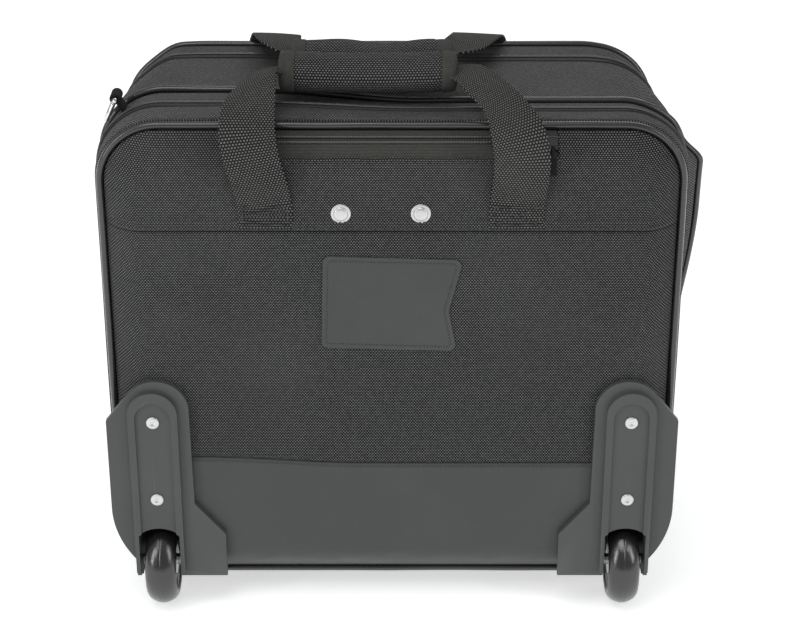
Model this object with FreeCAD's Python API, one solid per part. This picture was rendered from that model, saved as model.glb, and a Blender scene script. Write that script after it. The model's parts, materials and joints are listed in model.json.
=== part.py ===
"""Rolling laptop case: a soft three-section case on two wheels with a two-stage pull handle.

Millimetres. +Z is up, X runs across the case, and the wheel side faces -Y.
The shapes are drawn from the plane of the rear piping (y = 0) and moved at the end
so that the origin is on the floor at the middle of the bounding box.
"""
import FreeCAD, Part
import math
import os

V = FreeCAD.Vector

# Driving dimensions of the soft case
PIPE_HALF_W = 202.0      # rear piping, centre line to the middle of the case
PIPE_BOTTOM = 21.5       # rear piping, lowest centre line
PIPE_TOP = 378.0         # rear piping, highest centre line
PIPE_R = 2.6             # radius of the piping cord
R_TOP = 42.0             # upper corner radius at the piping
R_BOTTOM = 66.0          # lower corner radius at the piping
GUSSET_OUT = 4.0         # the gusset's face stands this far outside the piping line
GUSSET_WALL = 4.0        # fabric, foam and lining together
LAPTOP_ZIP_Y = 31.0      # opening plane of the laptop compartment
MID_PIPE_Y = 58.0        # piping between the laptop and the main compartment
MAIN_ZIP_Y = 135.0       # opening plane of the main compartment
FRONT_PIPE_Y = 162.0     # front piping
POCKET_FACE_Y = 182.0    # outer face of the front pocket
ZIP_END_Z = 68.0         # the side zips stop this high above the floor

# Rear panel, which bulges over the pull handle
BULGE = 18.0             # how far the panel stands behind the piping plane
BEVEL = 17.0             # width of its sloping border
SKIN = 2.0               # padded fabric of the rear panel
HEM_Z = 307.0            # seam across the rear panel
KICK_Z = 123.0           # upper edge of the smooth kick panel
HANDLE_ZIP_X0 = -87.0    # zip of the handle pocket
HANDLE_ZIP_X1 = 113.0
ZIP_WINDOW_Z = 355.0     # lower edge of the handle pocket's opening
ZIP_SPLIT_Z = 367.0      # where the two tapes of that zip meet

# Wheels and housings
WHEEL_X = 172.0
WHEEL_Y = -6.0
WHEEL_R = 33.0
WHEEL_W = 25.0
HUB_R = 23.0
BEARING_R = 11.0
BEARING_W = 7.0
AXLE_R = 4.0
AXLE_GAP = 0.05          # running clearance on the axle
WELL_HALF_W = 15.0       # inside half width of the wheel well
CHEEK = 3.0              # wall of the wheel well
WELL_TOP = 70.0
PLATE_Y0 = -23.0         # rear face of the housing plate
PLATE_Y1 = -18.3
ARCH_Y0 = -27.0          # rear face of the raised arch
STRIP_Y0 = -25.0         # rear face of the strip inside the arch
HOUSING_X = 206.0        # outer edge of the housing
HOUSING_BOTTOM = 24.0    # lower end of the well's cheeks
FLANGE_BOTTOM = 29.0
ARCH_BOTTOM = 33.5
MOUTH_Z = (65.5, 71.0)   # well opening: height of its corners and of the arch's crown

# Pull handle
TUBE_X = 50.0
TUBE_Y = -9.5
OUTER_TUBE = (18.0, 11.0)
TUBE_WALL = 1.0
TUBE_GAP = 0.2
TUBE_Z0 = 48.0
OUTER_TOP = 326.0
GRIP_Z0 = 334.0
GRIP_Z1 = 356.0
GRIP_HALF_W = 62.0
RIVETS_BACK = ((-35.0, 320.3), (20.0, 320.3))

# Carry handles
WEB_W = 38.0             # width of the webbing
WEB_T = 1.8
PATCH_Z0 = 309.5
PATCH_Z1 = 330.0
WRAP_Z = 403.0
REAR_PATCHES = (-106.0, 67.0)
FRONT_PATCHES = (-111.0, 50.0)
REAR_WRAP_Y = 40.0
FRONT_WRAP_Y = 82.0
BAND_HALF = 8.0          # half width of the band inside the wrap
BAND_GAP = 0.05

# Identity tag, front pocket, feet and inner panels
TAG_CORNERS = [(-49.0, 287.0), (49.0, 287.0), (40.2, 247.5), (47.0, 216.0), (-49.0, 216.0)]
TAG_TILT = 1.6           # the tag's right side hangs this many degrees low
POCKET_HALF_W = 170.0
POCKET_Z0 = 45.0
POCKET_Z1 = 285.0
POCKET_WALL = 6.0
FOOT_X = 110.0
FOOT_HALF_W = 22.0
FOOT_Y = (104.0, 128.0)
PAD_HALF_W = 165.0
PAD_Z = (80.0, 345.0)
PAD_T = 5.8
BASE_HALF_W = 134.0

# Shoulder strap rings
OUT_HALF_W = PIPE_HALF_W + GUSSET_OUT
OUT_BOTTOM = PIPE_BOTTOM - GUSSET_OUT
OUT_TOP = PIPE_TOP + GUSSET_OUT
RING_WIRE_R = 1.8
RING_HALF = 11.0
RING_DROP = 19.0
TAB_HALF_W = 6.0
TAB_EYE_R = 4.0
LEFT_RING = (-193.0, 43.0, 383.5)    # middle of the bar
LEFT_RING_LEAN = 25.0
LEFT_TAB_FOOT = (-185.2, 370.2)
RIGHT_RING = (OUT_HALF_W + 7.1 - TAB_EYE_R, 108.0, 320.0)
RIGHT_TAB_FOOT = (205.0, 330.0)

# Rivets
RIVET_Z = (160.0, 96.0)              # on the wheel housings
RIVET_SHANK_R = 2.5
RIVET_HEAD_R = 4.8
BACK_SHANK_R = 2.0
BACK_WASHER_R = 7.0

Y_MID = (WHEEL_Y - WHEEL_R + POCKET_FACE_Y) / 2


def box(x0, x1, y0, y1, z0, z1):
    return Part.makeBox(x1 - x0, y1 - y0, z1 - z0, V(x0, y0, z0))


def rod(radius, start, end):
    """A round bar from one point to another."""
    along = V(*end) - V(*start)
    return Part.makeCylinder(radius, along.Length, V(*start), along)


def join(shapes):
    return shapes[0].fuse(list(shapes[1:])).removeSplitter()


def group(shapes):
    return Part.makeCompound(list(shapes))


def mirrored(shape):
    return shape.mirror(V(0, 0, 0), V(1, 0, 0))


def outline(inset, y):
    """The case's rounded outline at depth y, drawn inset from the gusset's face."""
    half = OUT_HALF_W - inset
    low = OUT_BOTTOM + inset
    high = OUT_TOP - inset
    top = R_TOP + GUSSET_OUT - inset
    bottom = R_BOTTOM + GUSSET_OUT - inset
    cut = 1 - math.sqrt(0.5)

    def corner(sx, sz, r, z_edge):
        x_mid, z_mid = sx * (half - cut * r), z_edge - sz * cut * r
        on_side = V(sx * half, y, z_edge - sz * r)
        on_edge = V(sx * (half - r), y, z_edge)
        return on_side, V(x_mid, y, z_mid), on_edge

    ne, nw = corner(1, 1, top, high), corner(-1, 1, top, high)
    se, sw = corner(1, -1, bottom, low), corner(-1, -1, bottom, low)
    edges = [Part.Arc(*ne).toShape(), Part.LineSegment(ne[2], nw[2]).toShape(),
             Part.Arc(nw[2], nw[1], nw[0]).toShape(), Part.LineSegment(nw[0], sw[0]).toShape(),
             Part.Arc(*sw).toShape(), Part.LineSegment(sw[2], se[2]).toShape(),
             Part.Arc(se[2], se[1], se[0]).toShape(), Part.LineSegment(se[0], ne[0]).toShape()]
    return Part.Wire(edges)


def slab(inset, y0, y1):
    return Part.Face(outline(inset, y0)).extrude(V(0, y1 - y0, 0))


def ring(y0, y1, inset=0.0, wall=GUSSET_WALL):
    return slab(inset, y0, y1).cut(slab(inset + wall, y0 - 1, y1 + 1))


def piping(y, inset):
    """A round cord that follows the outline at depth y."""
    path = outline(inset, y)
    start = V(OUT_HALF_W - inset, y, 200.0)
    half = Part.LineSegment(start, path.Edges[0].valueAt(path.Edges[0].FirstParameter)).toShape()
    rest = Part.LineSegment(path.Edges[6].valueAt(path.Edges[6].LastParameter), start).toShape()
    spine = Part.Wire([half] + path.Edges[:7] + [rest])
    profile = Part.Wire(Part.makeCircle(PIPE_R, start, V(0, 0, 1)))
    return spine.makePipeShell([profile], True, False)


def side_zip(y0, y1, coil_y0, coil_y1):
    """Zip tape with its half of the coil, up one side, over the top and down the other."""
    tape = ring(y0, y1, inset=-1.2, wall=1.0)
    coil = ring(coil_y0, coil_y1, inset=-2.6, wall=1.4)
    below = box(-300, 300, y0 - 5, y1 + 5, 0, ZIP_END_Z)
    return join([tape, coil]).cut(below)


def well_space():
    """Everything the two wheel wells take out of the soft case."""
    half = WELL_HALF_W + CHEEK + 0.3
    right = box(WHEEL_X - half, WHEEL_X + half, -60, LAPTOP_ZIP_Y - 1, 0, WELL_TOP + 2.3)
    return group([right, mirrored(right)])


def bulged(inset, face_y, edge_y):
    """The solid under a sloping border that rises from edge_y to a flat face at face_y."""
    return Part.makeLoft([outline(inset, edge_y), outline(inset + BEVEL, face_y)], True, True)


def rear_skin():
    """The bulged rear panel in one piece, with the handle pocket's opening still closed."""
    inset = GUSSET_OUT + PIPE_R + 0.4
    outer = bulged(inset, -BULGE, -1.0)
    inner = bulged(inset + SKIN, SKIN - BULGE, SKIN - 1.0)
    hollow = inner.fuse(slab(inset + SKIN, SKIN - 1.0, 10.0))
    skin = outer.cut(hollow).cut(well_space())
    return skin.cut(back_rivet_holes())


def zip_window():
    return box(HANDLE_ZIP_X0, HANDLE_ZIP_X1, -BULGE - 5, -0.9, ZIP_WINDOW_Z, PIPE_TOP)


def back_rivet_holes():
    return group([rod(BACK_SHANK_R, (x, -30, z), (x, 0.6, z)) for x, z in RIVETS_BACK])


def rear_panels():
    """Upper, lower and kick panels, and the two tapes that close the handle pocket."""
    skin = rear_skin()
    closed_part = skin.common(zip_window())
    body = skin.cut(zip_window())
    upper = body.common(box(-300, 300, -60, 20, HEM_Z + 0.2, 500))
    lower = body.common(box(-300, 300, -60, 20, KICK_Z + 0.2, HEM_Z - 0.2))
    kick = body.common(box(-300, 300, -60, 20, 0, KICK_Z - 0.2))
    tapes_low = closed_part.common(box(-300, 300, -60, 20, 0, ZIP_SPLIT_Z - 0.3))
    tapes_high = closed_part.common(box(-300, 300, -60, 20, ZIP_SPLIT_Z + 0.3, 500))
    return upper, lower, kick, tapes_low, tapes_high


def tube(size, wall, x, z0, z1):
    sx, sy = size
    outer = box(x - sx / 2, x + sx / 2, TUBE_Y - sy / 2, TUBE_Y + sy / 2, z0, z1)
    upright = [e for e in outer.Edges if abs(e.Vertexes[0].Z - e.Vertexes[1].Z) > 1]
    outer = outer.makeFillet(2.0, upright)
    bore = box(x - sx / 2 + wall, x + sx / 2 - wall, TUBE_Y - sy / 2 + wall, TUBE_Y + sy / 2 - wall,
               z0 - 1, z1 + 1)
    return outer.cut(bore)


def tube_pair(size, z0, z1):
    return group([tube(size, TUBE_WALL, x, z0, z1) for x in (-TUBE_X, TUBE_X)])


def inside(size):
    """The size of a tube that slides inside another."""
    step = 2 * (TUBE_WALL + TUBE_GAP)
    return size[0] - step, size[1] - step


def tube_bracket(z0, z1):
    """A moulded bridge between the back board and the skin, which clamps both outer tubes."""
    sx, sy = OUTER_TUBE
    bridge = box(-64, 64, TUBE_Y - sy / 2 - 0.8, 0.4, z0, z1)
    for x in (-TUBE_X, TUBE_X):
        hole = box(x - sx / 2, x + sx / 2, TUBE_Y - sy / 2, TUBE_Y + sy / 2, z0 - 1, z1 + 1)
        bridge = bridge.cut(hole)
    return bridge.cut(back_rivet_holes())


def back_rivets():
    """Domed rivets on washers that hold the upper bracket through the panel."""
    pieces = []
    for x, z in RIVETS_BACK:
        shank = rod(BACK_SHANK_R, (x, -BULGE - 0.8, z), (x, 0.4, z))
        washer = rod(BACK_WASHER_R, (x, -BULGE - 0.9, z), (x, -BULGE - 0.05, z))
        ball = Part.makeSphere(7.2, V(x, -BULGE + 4.0, z))
        cap = ball.common(rod(5.0, (x, -BULGE - 4, z), (x, -BULGE - 0.8, z)))
        pieces.append(join([washer, cap, shank]))
    return group(pieces)


def housing_outline(y):
    """Outline of the right housing plate: arch on top, wrapped corner, flared foot."""
    corner_x = OUT_HALF_W - R_BOTTOM - GUSSET_OUT
    corner_z = OUT_BOTTOM + R_BOTTOM + GUSSET_OUT
    radius = HOUSING_X - corner_x
    lug_x = WHEEL_X + WELL_HALF_W + CHEEK
    lug_z = corner_z - math.sqrt(radius ** 2 - (lug_x - corner_x) ** 2)
    turn = math.radians(22)
    mid = V(corner_x + radius * math.cos(turn), y, corner_z - radius * math.sin(turn))
    points = [V(123, y, FLANGE_BOTTOM), V(123, y, 65), V(145, y, 91), V(146, y, 167)]
    arch_end = V(187, y, 184)
    shoulder = V(HOUSING_X, y, 160)
    side = V(HOUSING_X, y, corner_z)
    lug = V(lug_x, y, lug_z)
    edges = [Part.LineSegment(a, b).toShape() for a, b in zip(points, points[1:])]
    edges.append(Part.Arc(points[-1], V(169, y, 192), arch_end).toShape())
    edges.append(Part.LineSegment(arch_end, shoulder).toShape())
    edges.append(Part.LineSegment(shoulder, side).toShape())
    edges.append(Part.Arc(side, mid, lug).toShape())
    foot = [lug, V(lug_x, y, FLANGE_BOTTOM), points[0]]
    edges += [Part.LineSegment(a, b).toShape() for a, b in zip(foot, foot[1:])]
    return Part.Wire(edges)


def stadium(half_w, z_top, z_low, y0, y1):
    """An upright slot shape round the wheel's centre line with a round upper end."""
    straight = box(WHEEL_X - half_w, WHEEL_X + half_w, y0, y1, z_low, z_top - half_w)
    cap = rod(half_w, (WHEEL_X, y0, z_top - half_w), (WHEEL_X, y1, z_top - half_w))
    return join([straight, cap])


def well_mouth():
    """Opening of the well through the rear face: straight sides under a shallow arch."""
    x0, x1 = WHEEL_X - WELL_HALF_W, WHEEL_X + WELL_HALF_W
    side_z, crown_z = MOUTH_Z
    rise = crown_z - side_z
    radius = (WELL_HALF_W ** 2 + rise ** 2) / (2 * rise)
    arch = rod(radius, (WHEEL_X, -60, crown_z - radius), (WHEEL_X, -17, crown_z - radius))
    return join([box(x0, x1, -60, -17, 0, side_z), arch.common(box(x0, x1, -60, -17, side_z - 10, 100))])


def wheel_housing():
    """The right housing: plate, raised arch with its strip, wrapped side and wheel well."""
    plate = Part.Face(housing_outline(PLATE_Y0)).extrude(V(0, PLATE_Y1 - PLATE_Y0, 0))
    arch = stadium(18.0, 184.5, ARCH_BOTTOM, ARCH_Y0, PLATE_Y1)
    channel = stadium(12.8, 176.0, HOUSING_BOTTOM - 1, ARCH_Y0 - 1, STRIP_Y0)
    half = WELL_HALF_W + CHEEK
    well = box(WHEEL_X - half, WHEEL_X + half, PLATE_Y0, LAPTOP_ZIP_Y - 1.5, HOUSING_BOTTOM, WELL_TOP + 2)
    slope = Part.makePolygon([V(100, y, z) for y, z in ((-24, 20), (-24, 31), (-13, 24), (-13, 20), (-24, 20))])
    well = well.cut(Part.Face(slope).extrude(V(120, 0, 0)))
    wrap = Part.Face(housing_outline(PLATE_Y1)).extrude(V(0, 18.0 - PLATE_Y1, 0))
    wrap = wrap.cut(slab(-0.3, PLATE_Y1 - 1, 20)).common(box(190, 300, -60, 60, 0, 300))
    body = join([plate, arch, well, wrap]).cut(channel)
    room = box(WHEEL_X - WELL_HALF_W, WHEEL_X + WELL_HALF_W, -60, LAPTOP_ZIP_Y - 3, 0, 52.0)
    ends = [(WHEEL_X + s * WELL_HALF_W, WHEEL_Y, WHEEL_R) for s in (-1, 1)]
    dome = rod(WHEEL_R + 2.5, *ends)
    body = body.cut(room).cut(dome).cut(well_mouth())
    axle = rod(AXLE_R, (WHEEL_X - 30, WHEEL_Y, WHEEL_R), (WHEEL_X + 30, WHEEL_Y, WHEEL_R))
    holes = group([rod(RIVET_SHANK_R, (WHEEL_X, -40, z), (WHEEL_X, -17, z)) for z in RIVET_Z])
    return body.cut(axle).cut(holes)


def housing_rivets():
    pieces = []
    for x in (-WHEEL_X, WHEEL_X):
        for z in RIVET_Z:
            head = rod(RIVET_HEAD_R, (x, STRIP_Y0 - 1.4, z), (x, STRIP_Y0 - 0.05, z))
            shank = rod(RIVET_SHANK_R, (x, STRIP_Y0 - 0.1, z), (x, PLATE_Y1, z))
            pieces.append(join([head, shank]))
    return group(pieces)


def axle():
    reach = WELL_HALF_W + CHEEK
    return rod(AXLE_R, (WHEEL_X - reach, WHEEL_Y, WHEEL_R), (WHEEL_X + reach, WHEEL_Y, WHEEL_R))


def wheel_parts():
    """Tyre, hub with spoke holes, and two bearings of the right wheel."""
    x0, x1 = WHEEL_X - WHEEL_W / 2, WHEEL_X + WHEEL_W / 2

    def disc(radius, a, b):
        return rod(radius, (a, WHEEL_Y, WHEEL_R), (b, WHEEL_Y, WHEEL_R))

    tyre = disc(WHEEL_R, x0, x1)
    rims = [e for e in tyre.Edges if e.Closed]
    tyre = tyre.makeFillet(WHEEL_W * 0.42, rims).cut(disc(HUB_R, x0 - 1, x1 + 1))
    hub = disc(HUB_R, x0 + 2.5, x1 - 2.5).cut(disc(BEARING_R, x0, x1))
    web = disc(BEARING_R, WHEEL_X - 2, WHEEL_X + 2).cut(disc(AXLE_R + 1, x0, x1))
    hub = join([hub, web])
    for k in range(6):
        a = math.radians(60 * k)
        y, z = WHEEL_Y + 17 * math.cos(a), WHEEL_R + 17 * math.sin(a)
        hub = hub.cut(rod(3.6, (x0 - 1, y, z), (x1 + 1, y, z)))
    bearing = disc(BEARING_R, x1 - 2.5 - BEARING_W, x1 - 2.5).cut(disc(AXLE_R + AXLE_GAP, x0, x1))
    inner = disc(BEARING_R, x0 + 2.5, x0 + 2.5 + BEARING_W).cut(disc(AXLE_R + AXLE_GAP, x0, x1))
    return tyre, hub, group([bearing, inner])


def grip():
    """Moulded pull grip with a recess for the release button and sockets for the tubes."""
    body = box(-GRIP_HALF_W, GRIP_HALF_W, TUBE_Y - 5.5, TUBE_Y + 5.5, GRIP_Z0, GRIP_Z1)
    ends = [e for e in body.Edges if abs(e.Vertexes[0].Y - e.Vertexes[1].Y) > 5]
    body = body.makeFillet(5.0, ends)
    recess = box(-14.3, 14.3, TUBE_Y - 3.3, TUBE_Y + 3.3, GRIP_Z1 - 10, GRIP_Z1 + 1)
    return body.cut(recess)


def release_button():
    return box(-14, 14, TUBE_Y - 3, TUBE_Y + 3, GRIP_Z1 - 5.5, GRIP_Z1 - 0.2)


def button_spring():
    """Two short coil springs under the button, drawn as sleeves of the coil's size."""
    return group([rod(1.8, (x, TUBE_Y, GRIP_Z1 - 10), (x, TUBE_Y, GRIP_Z1 - 5.5)).cut(
        rod(1.1, (x, TUBE_Y, GRIP_Z1 - 11), (x, TUBE_Y, GRIP_Z1 - 5))) for x in (-8, 8)])


def ribbon(points, x0, x1):
    """Webbing with its thickness in the YZ plane: each run is a plate, with round bends."""
    pieces = []
    for (ya, za), (yb, zb) in zip(points, points[1:]):
        run = math.hypot(yb - ya, zb - za)
        plate = box(x0, x1, -WEB_T / 2, WEB_T / 2, 0, run)
        plate.rotate(V(0, 0, 0), V(1, 0, 0), -math.degrees(math.atan2(yb - ya, zb - za)))
        plate.translate(V(0, ya, za))
        pieces.append(plate)
    pieces += [rod(WEB_T / 2, (x0, y, z), (x1, y, z)) for y, z in points[1:]]
    return join(pieces)


def handle_strap(route, left, right):
    """Both legs of a carry handle and the band between them that runs inside the wrap."""
    y, z = route[-1]
    legs = [ribbon(route, left, left + WEB_W), ribbon(route, right - WEB_W, right)]
    band = box(left + WEB_W - 4, right - WEB_W + 4, y - BAND_HALF, y + BAND_HALF, z - WEB_T / 2, z + WEB_T / 2)
    return join(legs + [band])


def handle_wrap(x0, x1, y, half_y, half_z):
    """Padded grip wrap: an oval sleeve closed round the band."""
    ellipse = Part.Ellipse(V(x0, y, WRAP_Z), half_y, half_z)
    face = Part.Face(Part.Wire(ellipse.toShape()))
    face.rotate(V(x0, y, WRAP_Z), V(0, 1, 0), 90)
    face.rotate(V(x0, y, WRAP_Z), V(1, 0, 0), 90)
    sleeve = face.extrude(V(x1 - x0, 0, 0))
    half, low = BAND_HALF + BAND_GAP, WRAP_Z - WEB_T / 2 - BAND_GAP
    return sleeve.cut(box(x0 - 1, x1 + 1, y - half, y + half, low, low + WEB_T + 2 * BAND_GAP))


def id_tag():
    """Flat tag, a little askew, with rounded corners and a blunt notch in its right side."""
    y0, y1 = -BULGE - 1.4, -BULGE - 0.05
    edge = Part.makePolygon([V(x, y0, z) for x, z in TAG_CORNERS + TAG_CORNERS[:1]])
    plate = Part.Face(edge).extrude(V(0, y1 - y0, 0))

    def edges_at(corner):
        """Edges that run through the thickness at one corner of the outline."""
        return [e for e in plate.Edges
                if all(math.hypot(v.X - corner[0], v.Z - corner[1]) < 0.1 for v in e.Vertexes)]

    for corner in TAG_CORNERS:
        plate = plate.makeFillet(14.0 if corner == TAG_CORNERS[2] else 5.0, edges_at(corner))
    plate.rotate(V(0, y0, 251.5), V(0, 1, 0), TAG_TILT)
    return plate


def d_ring(pivot, lean):
    """A D ring on a bar along Y; the bow hangs from the bar, turned by lean degrees."""
    half, drop, wire = RING_HALF, RING_DROP, RING_WIRE_R
    bar = rod(wire, (0, -half, 0), (0, half, 0))
    legs = [rod(wire, (0, s * half, 0), (0, s * half, half - drop)) for s in (-1, 1)]
    bow = Part.makeTorus(half, wire, V(0, 0, half - drop), V(1, 0, 0)).common(
        box(-5, 5, -20, 20, -40, half - drop))
    balls = [Part.makeSphere(wire, V(0, s * half, 0)) for s in (-1, 1)]
    ring_shape = join([bar, bow] + legs + balls)
    ring_shape.rotate(V(0, 0, 0), V(0, 1, 0), lean)
    ring_shape.translate(V(*pivot))
    return ring_shape


def d_ring_tab(pivot, foot):
    """A short loop of webbing round the ring's bar, sewn down at its foot."""
    x, y, z = pivot
    y0, y1 = y - TAB_HALF_W, y + TAB_HALF_W
    eye = rod(TAB_EYE_R, (x, y0, z), (x, y1, z))
    dx, dz = foot[0] - x, foot[1] - z
    tongue = box(-1.4, 1.4, y0, y1, -math.hypot(dx, dz), 0)
    tongue.rotate(V(0, 0, 0), V(0, 1, 0), math.degrees(math.atan2(-dx, -dz)))
    tongue.translate(V(x, 0, z))
    bar = rod(RING_WIRE_R + 0.35, (x, y0 - 2, z), (x, y1 + 2, z))
    return join([eye, tongue]).cut(bar).cut(slab(0, 20, 160))


def side_slider(side, y):
    """Slider of a side zip at its closed end, low on the gusset."""
    x0 = OUT_HALF_W + 2.9
    body = box(x0, x0 + 2.2, y - 4, y + 4, ZIP_END_Z + 2, ZIP_END_Z + 13)
    lug = box(x0 + 2.2, x0 + 4.2, y - 2.6, y - 1.6, ZIP_END_Z + 6, ZIP_END_Z + 11)
    other = box(x0 + 2.2, x0 + 4.2, y + 1.6, y + 2.6, ZIP_END_Z + 6, ZIP_END_Z + 11)
    shape = join([body, lug, other])
    return shape if side > 0 else mirrored(shape)


def side_pull(side, y):
    """Pull tab that hangs from the slider's lugs."""
    x0 = OUT_HALF_W + 5.7
    knuckle = box(x0, x0 + 1.0, y - 1.3, y + 1.3, ZIP_END_Z + 4, ZIP_END_Z + 9.2)
    tab = box(x0, x0 + 1.0, y - 3.5, y + 3.5, ZIP_END_Z - 20, ZIP_END_Z + 4)
    shape = join([knuckle, tab])
    return shape if side > 0 else mirrored(shape)


def facet(shape, x, lift):
    """Moves a shape drawn on the XZ plane, facing -Y, onto the slope over the handle zip."""
    slope = math.degrees(math.atan2(BULGE - 1.0, BEVEL))
    y_mid = -(BULGE + 1.0) / 2
    z_mid = PIPE_TOP - PIPE_R - 0.4 - BEVEL / 2
    shape.rotate(V(0, 0, 0), V(1, 0, 0), -slope)
    rise = math.radians(slope)
    shape.translate(V(x, y_mid - lift * math.cos(rise), z_mid + lift * math.sin(rise)))
    return shape


def handle_slider():
    body = box(-3.5, 3.5, -1.6, 1.6, -4.5, 4.5)
    lugs = [box(a, a + 1, -3.6, -1.5, -5.5, -1.0) for a in (-2.5, 1.5)]
    return facet(join([body] + lugs), HANDLE_ZIP_X1 - 3.5, 2.6)


def handle_pull():
    """Pull tab that hangs clear of the panel from the slider of the handle pocket."""
    tab = join([box(-1.2, 1.2, -0.6, 0.1, -7.5, 0.7), box(-2.8, 2.8, -0.6, 0.6, -20, -7.5)])
    tab.rotate(V(0, 0, 0), V(1, 0, 0), -22)
    tab.translate(V(HANDLE_ZIP_X1 - 3.5, -15.4, 368.2))
    return tab


def front_pocket():
    """Bellows pocket on the front panel, open along its upper edge."""
    shell = box(-POCKET_HALF_W, POCKET_HALF_W, FRONT_PIPE_Y + 2.2, POCKET_FACE_Y, POCKET_Z0, POCKET_Z1)
    upright = [e for e in shell.Edges if abs(e.Vertexes[0].Y - e.Vertexes[1].Y) > 5]
    shell = shell.makeFillet(18.0, upright)
    half = POCKET_HALF_W - POCKET_WALL
    room = box(-half, half, FRONT_PIPE_Y + 1, POCKET_FACE_Y - 3, POCKET_Z0 + POCKET_WALL, POCKET_Z1 + 15)
    return shell.cut(room)


def build():
    """Makes every node and returns them by name, still drawn from the rear piping plane."""
    nodes = {}
    wells = well_space()
    upper, lower, kick, tape_low, tape_high = rear_panels()
    nodes["rear_panel_upper"] = upper
    nodes["rear_panel_lower"] = lower
    nodes["kick_panel"] = kick
    nodes["handle_zip_lower"] = tape_low
    nodes["handle_zip_upper"] = tape_high
    nodes["rear_piping"] = piping(0.0, GUSSET_OUT).cut(wells)
    nodes["back_board"] = slab(GUSSET_OUT + PIPE_R + 0.5, 1.2, 2.8).cut(wells)
    nodes["laptop_gusset_back"] = ring(3.0, LAPTOP_ZIP_Y - 1).cut(wells)
    nodes["laptop_zip_back"] = side_zip(25.0, 30.8, 29.4, 30.8)
    nodes["laptop_pad"] = box(-PAD_HALF_W, PAD_HALF_W, 3.2, 3.2 + PAD_T, *PAD_Z)
    nodes["laptop_strap"] = box(-WEB_W / 2, WEB_W / 2, 3.2 + PAD_T, 4.8 + PAD_T, 120, 330)
    nodes["trolley_outer_tubes"] = tube_pair(OUTER_TUBE, TUBE_Z0, OUTER_TOP)
    nodes["trolley_upper_bracket"] = tube_bracket(308.0, OUTER_TOP)
    nodes["trolley_base_bracket"] = tube_bracket(TUBE_Z0, TUBE_Z0 + 16.0)
    nodes["back_rivets"] = back_rivets()
    housing = wheel_housing()
    nodes["wheel_housing_right"] = housing
    nodes["wheel_housing_left"] = mirrored(housing)
    nodes["housing_rivets"] = housing_rivets()
    nodes["axles"] = group([axle(), mirrored(axle())])
    nodes["id_tag"] = id_tag()
    patch = [box(x, x + WEB_W, -BULGE - WEB_T, -BULGE - 0.05, PATCH_Z0, PATCH_Z1) for x in REAR_PATCHES]
    nodes["rear_strap_patches"] = group(patch)

    tyre, hub, bearings = wheel_parts()
    for side, place in (("right", lambda s: s), ("left", mirrored)):
        nodes["tyre_" + side] = place(tyre)
        nodes["wheel_hub_" + side] = place(hub)
        nodes["wheel_bearings_" + side] = place(bearings)

    first = inside(OUTER_TUBE)
    second = inside(first)
    nodes["trolley_first_stage"] = tube_pair(first, TUBE_Z0 + 4, GRIP_Z0 - 4)
    nodes["trolley_second_stage"] = tube_pair(second, TUBE_Z0 + 8, GRIP_Z0)
    nodes["pull_grip"] = grip()
    nodes["release_button"] = release_button()
    nodes["button_springs"] = button_spring()

    nodes["laptop_gusset_front"] = ring(LAPTOP_ZIP_Y + 1, MID_PIPE_Y - 3)
    nodes["laptop_zip_front"] = side_zip(31.2, 37.0, 31.2, 32.6)
    nodes["divider_panel"] = slab(3.2, MID_PIPE_Y - 3, MID_PIPE_Y + 3)
    nodes["mid_piping"] = piping(MID_PIPE_Y, 0.0)
    nodes["main_gusset_back"] = ring(MID_PIPE_Y + 3, MAIN_ZIP_Y - 1)
    nodes["main_zip_back"] = side_zip(MAIN_ZIP_Y - 6, MAIN_ZIP_Y - 0.2, MAIN_ZIP_Y - 1.6, MAIN_ZIP_Y - 0.2)
    nodes["base_board"] = box(-BASE_HALF_W, BASE_HALF_W, MID_PIPE_Y + 4, MAIN_ZIP_Y - 2,
                              PIPE_BOTTOM, PIPE_BOTTOM + 2)
    feet = [box(x - FOOT_HALF_W, x + FOOT_HALF_W, *FOOT_Y, 0, OUT_BOTTOM) for x in (-FOOT_X, FOOT_X)]
    nodes["front_feet"] = group([f.makeFillet(3.0, f.Edges[8:]) for f in feet])
    nodes["d_ring_tabs"] = group([d_ring_tab(LEFT_RING, LEFT_TAB_FOOT), d_ring_tab(RIGHT_RING, RIGHT_TAB_FOOT)])
    nodes["d_ring_left"] = d_ring(LEFT_RING, LEFT_RING_LEAN)
    nodes["d_ring_right"] = d_ring(RIGHT_RING, 0.0)

    nodes["main_zip_front"] = side_zip(MAIN_ZIP_Y + 0.2, MAIN_ZIP_Y + 6, MAIN_ZIP_Y + 0.2, MAIN_ZIP_Y + 1.6)
    nodes["main_gusset_front"] = ring(MAIN_ZIP_Y + 1, FRONT_PIPE_Y - 3)
    nodes["front_piping"] = piping(FRONT_PIPE_Y, 0.0)
    nodes["front_panel"] = slab(3.2, FRONT_PIPE_Y - 3, FRONT_PIPE_Y + 2)
    nodes["front_pocket"] = front_pocket()
    half = POCKET_HALF_W - POCKET_WALL - 4
    nodes["front_pocket_zip"] = box(-half, half, FRONT_PIPE_Y + 2.3, POCKET_FACE_Y - 3.2,
                                    POCKET_Z1 - 3, POCKET_Z1 - 1)
    y_patch = FRONT_PIPE_Y + 2.05
    patch = [box(x, x + WEB_W, y_patch, y_patch + WEB_T, PATCH_Z0, PATCH_Z1) for x in FRONT_PATCHES]
    nodes["front_strap_patches"] = group(patch)

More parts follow.
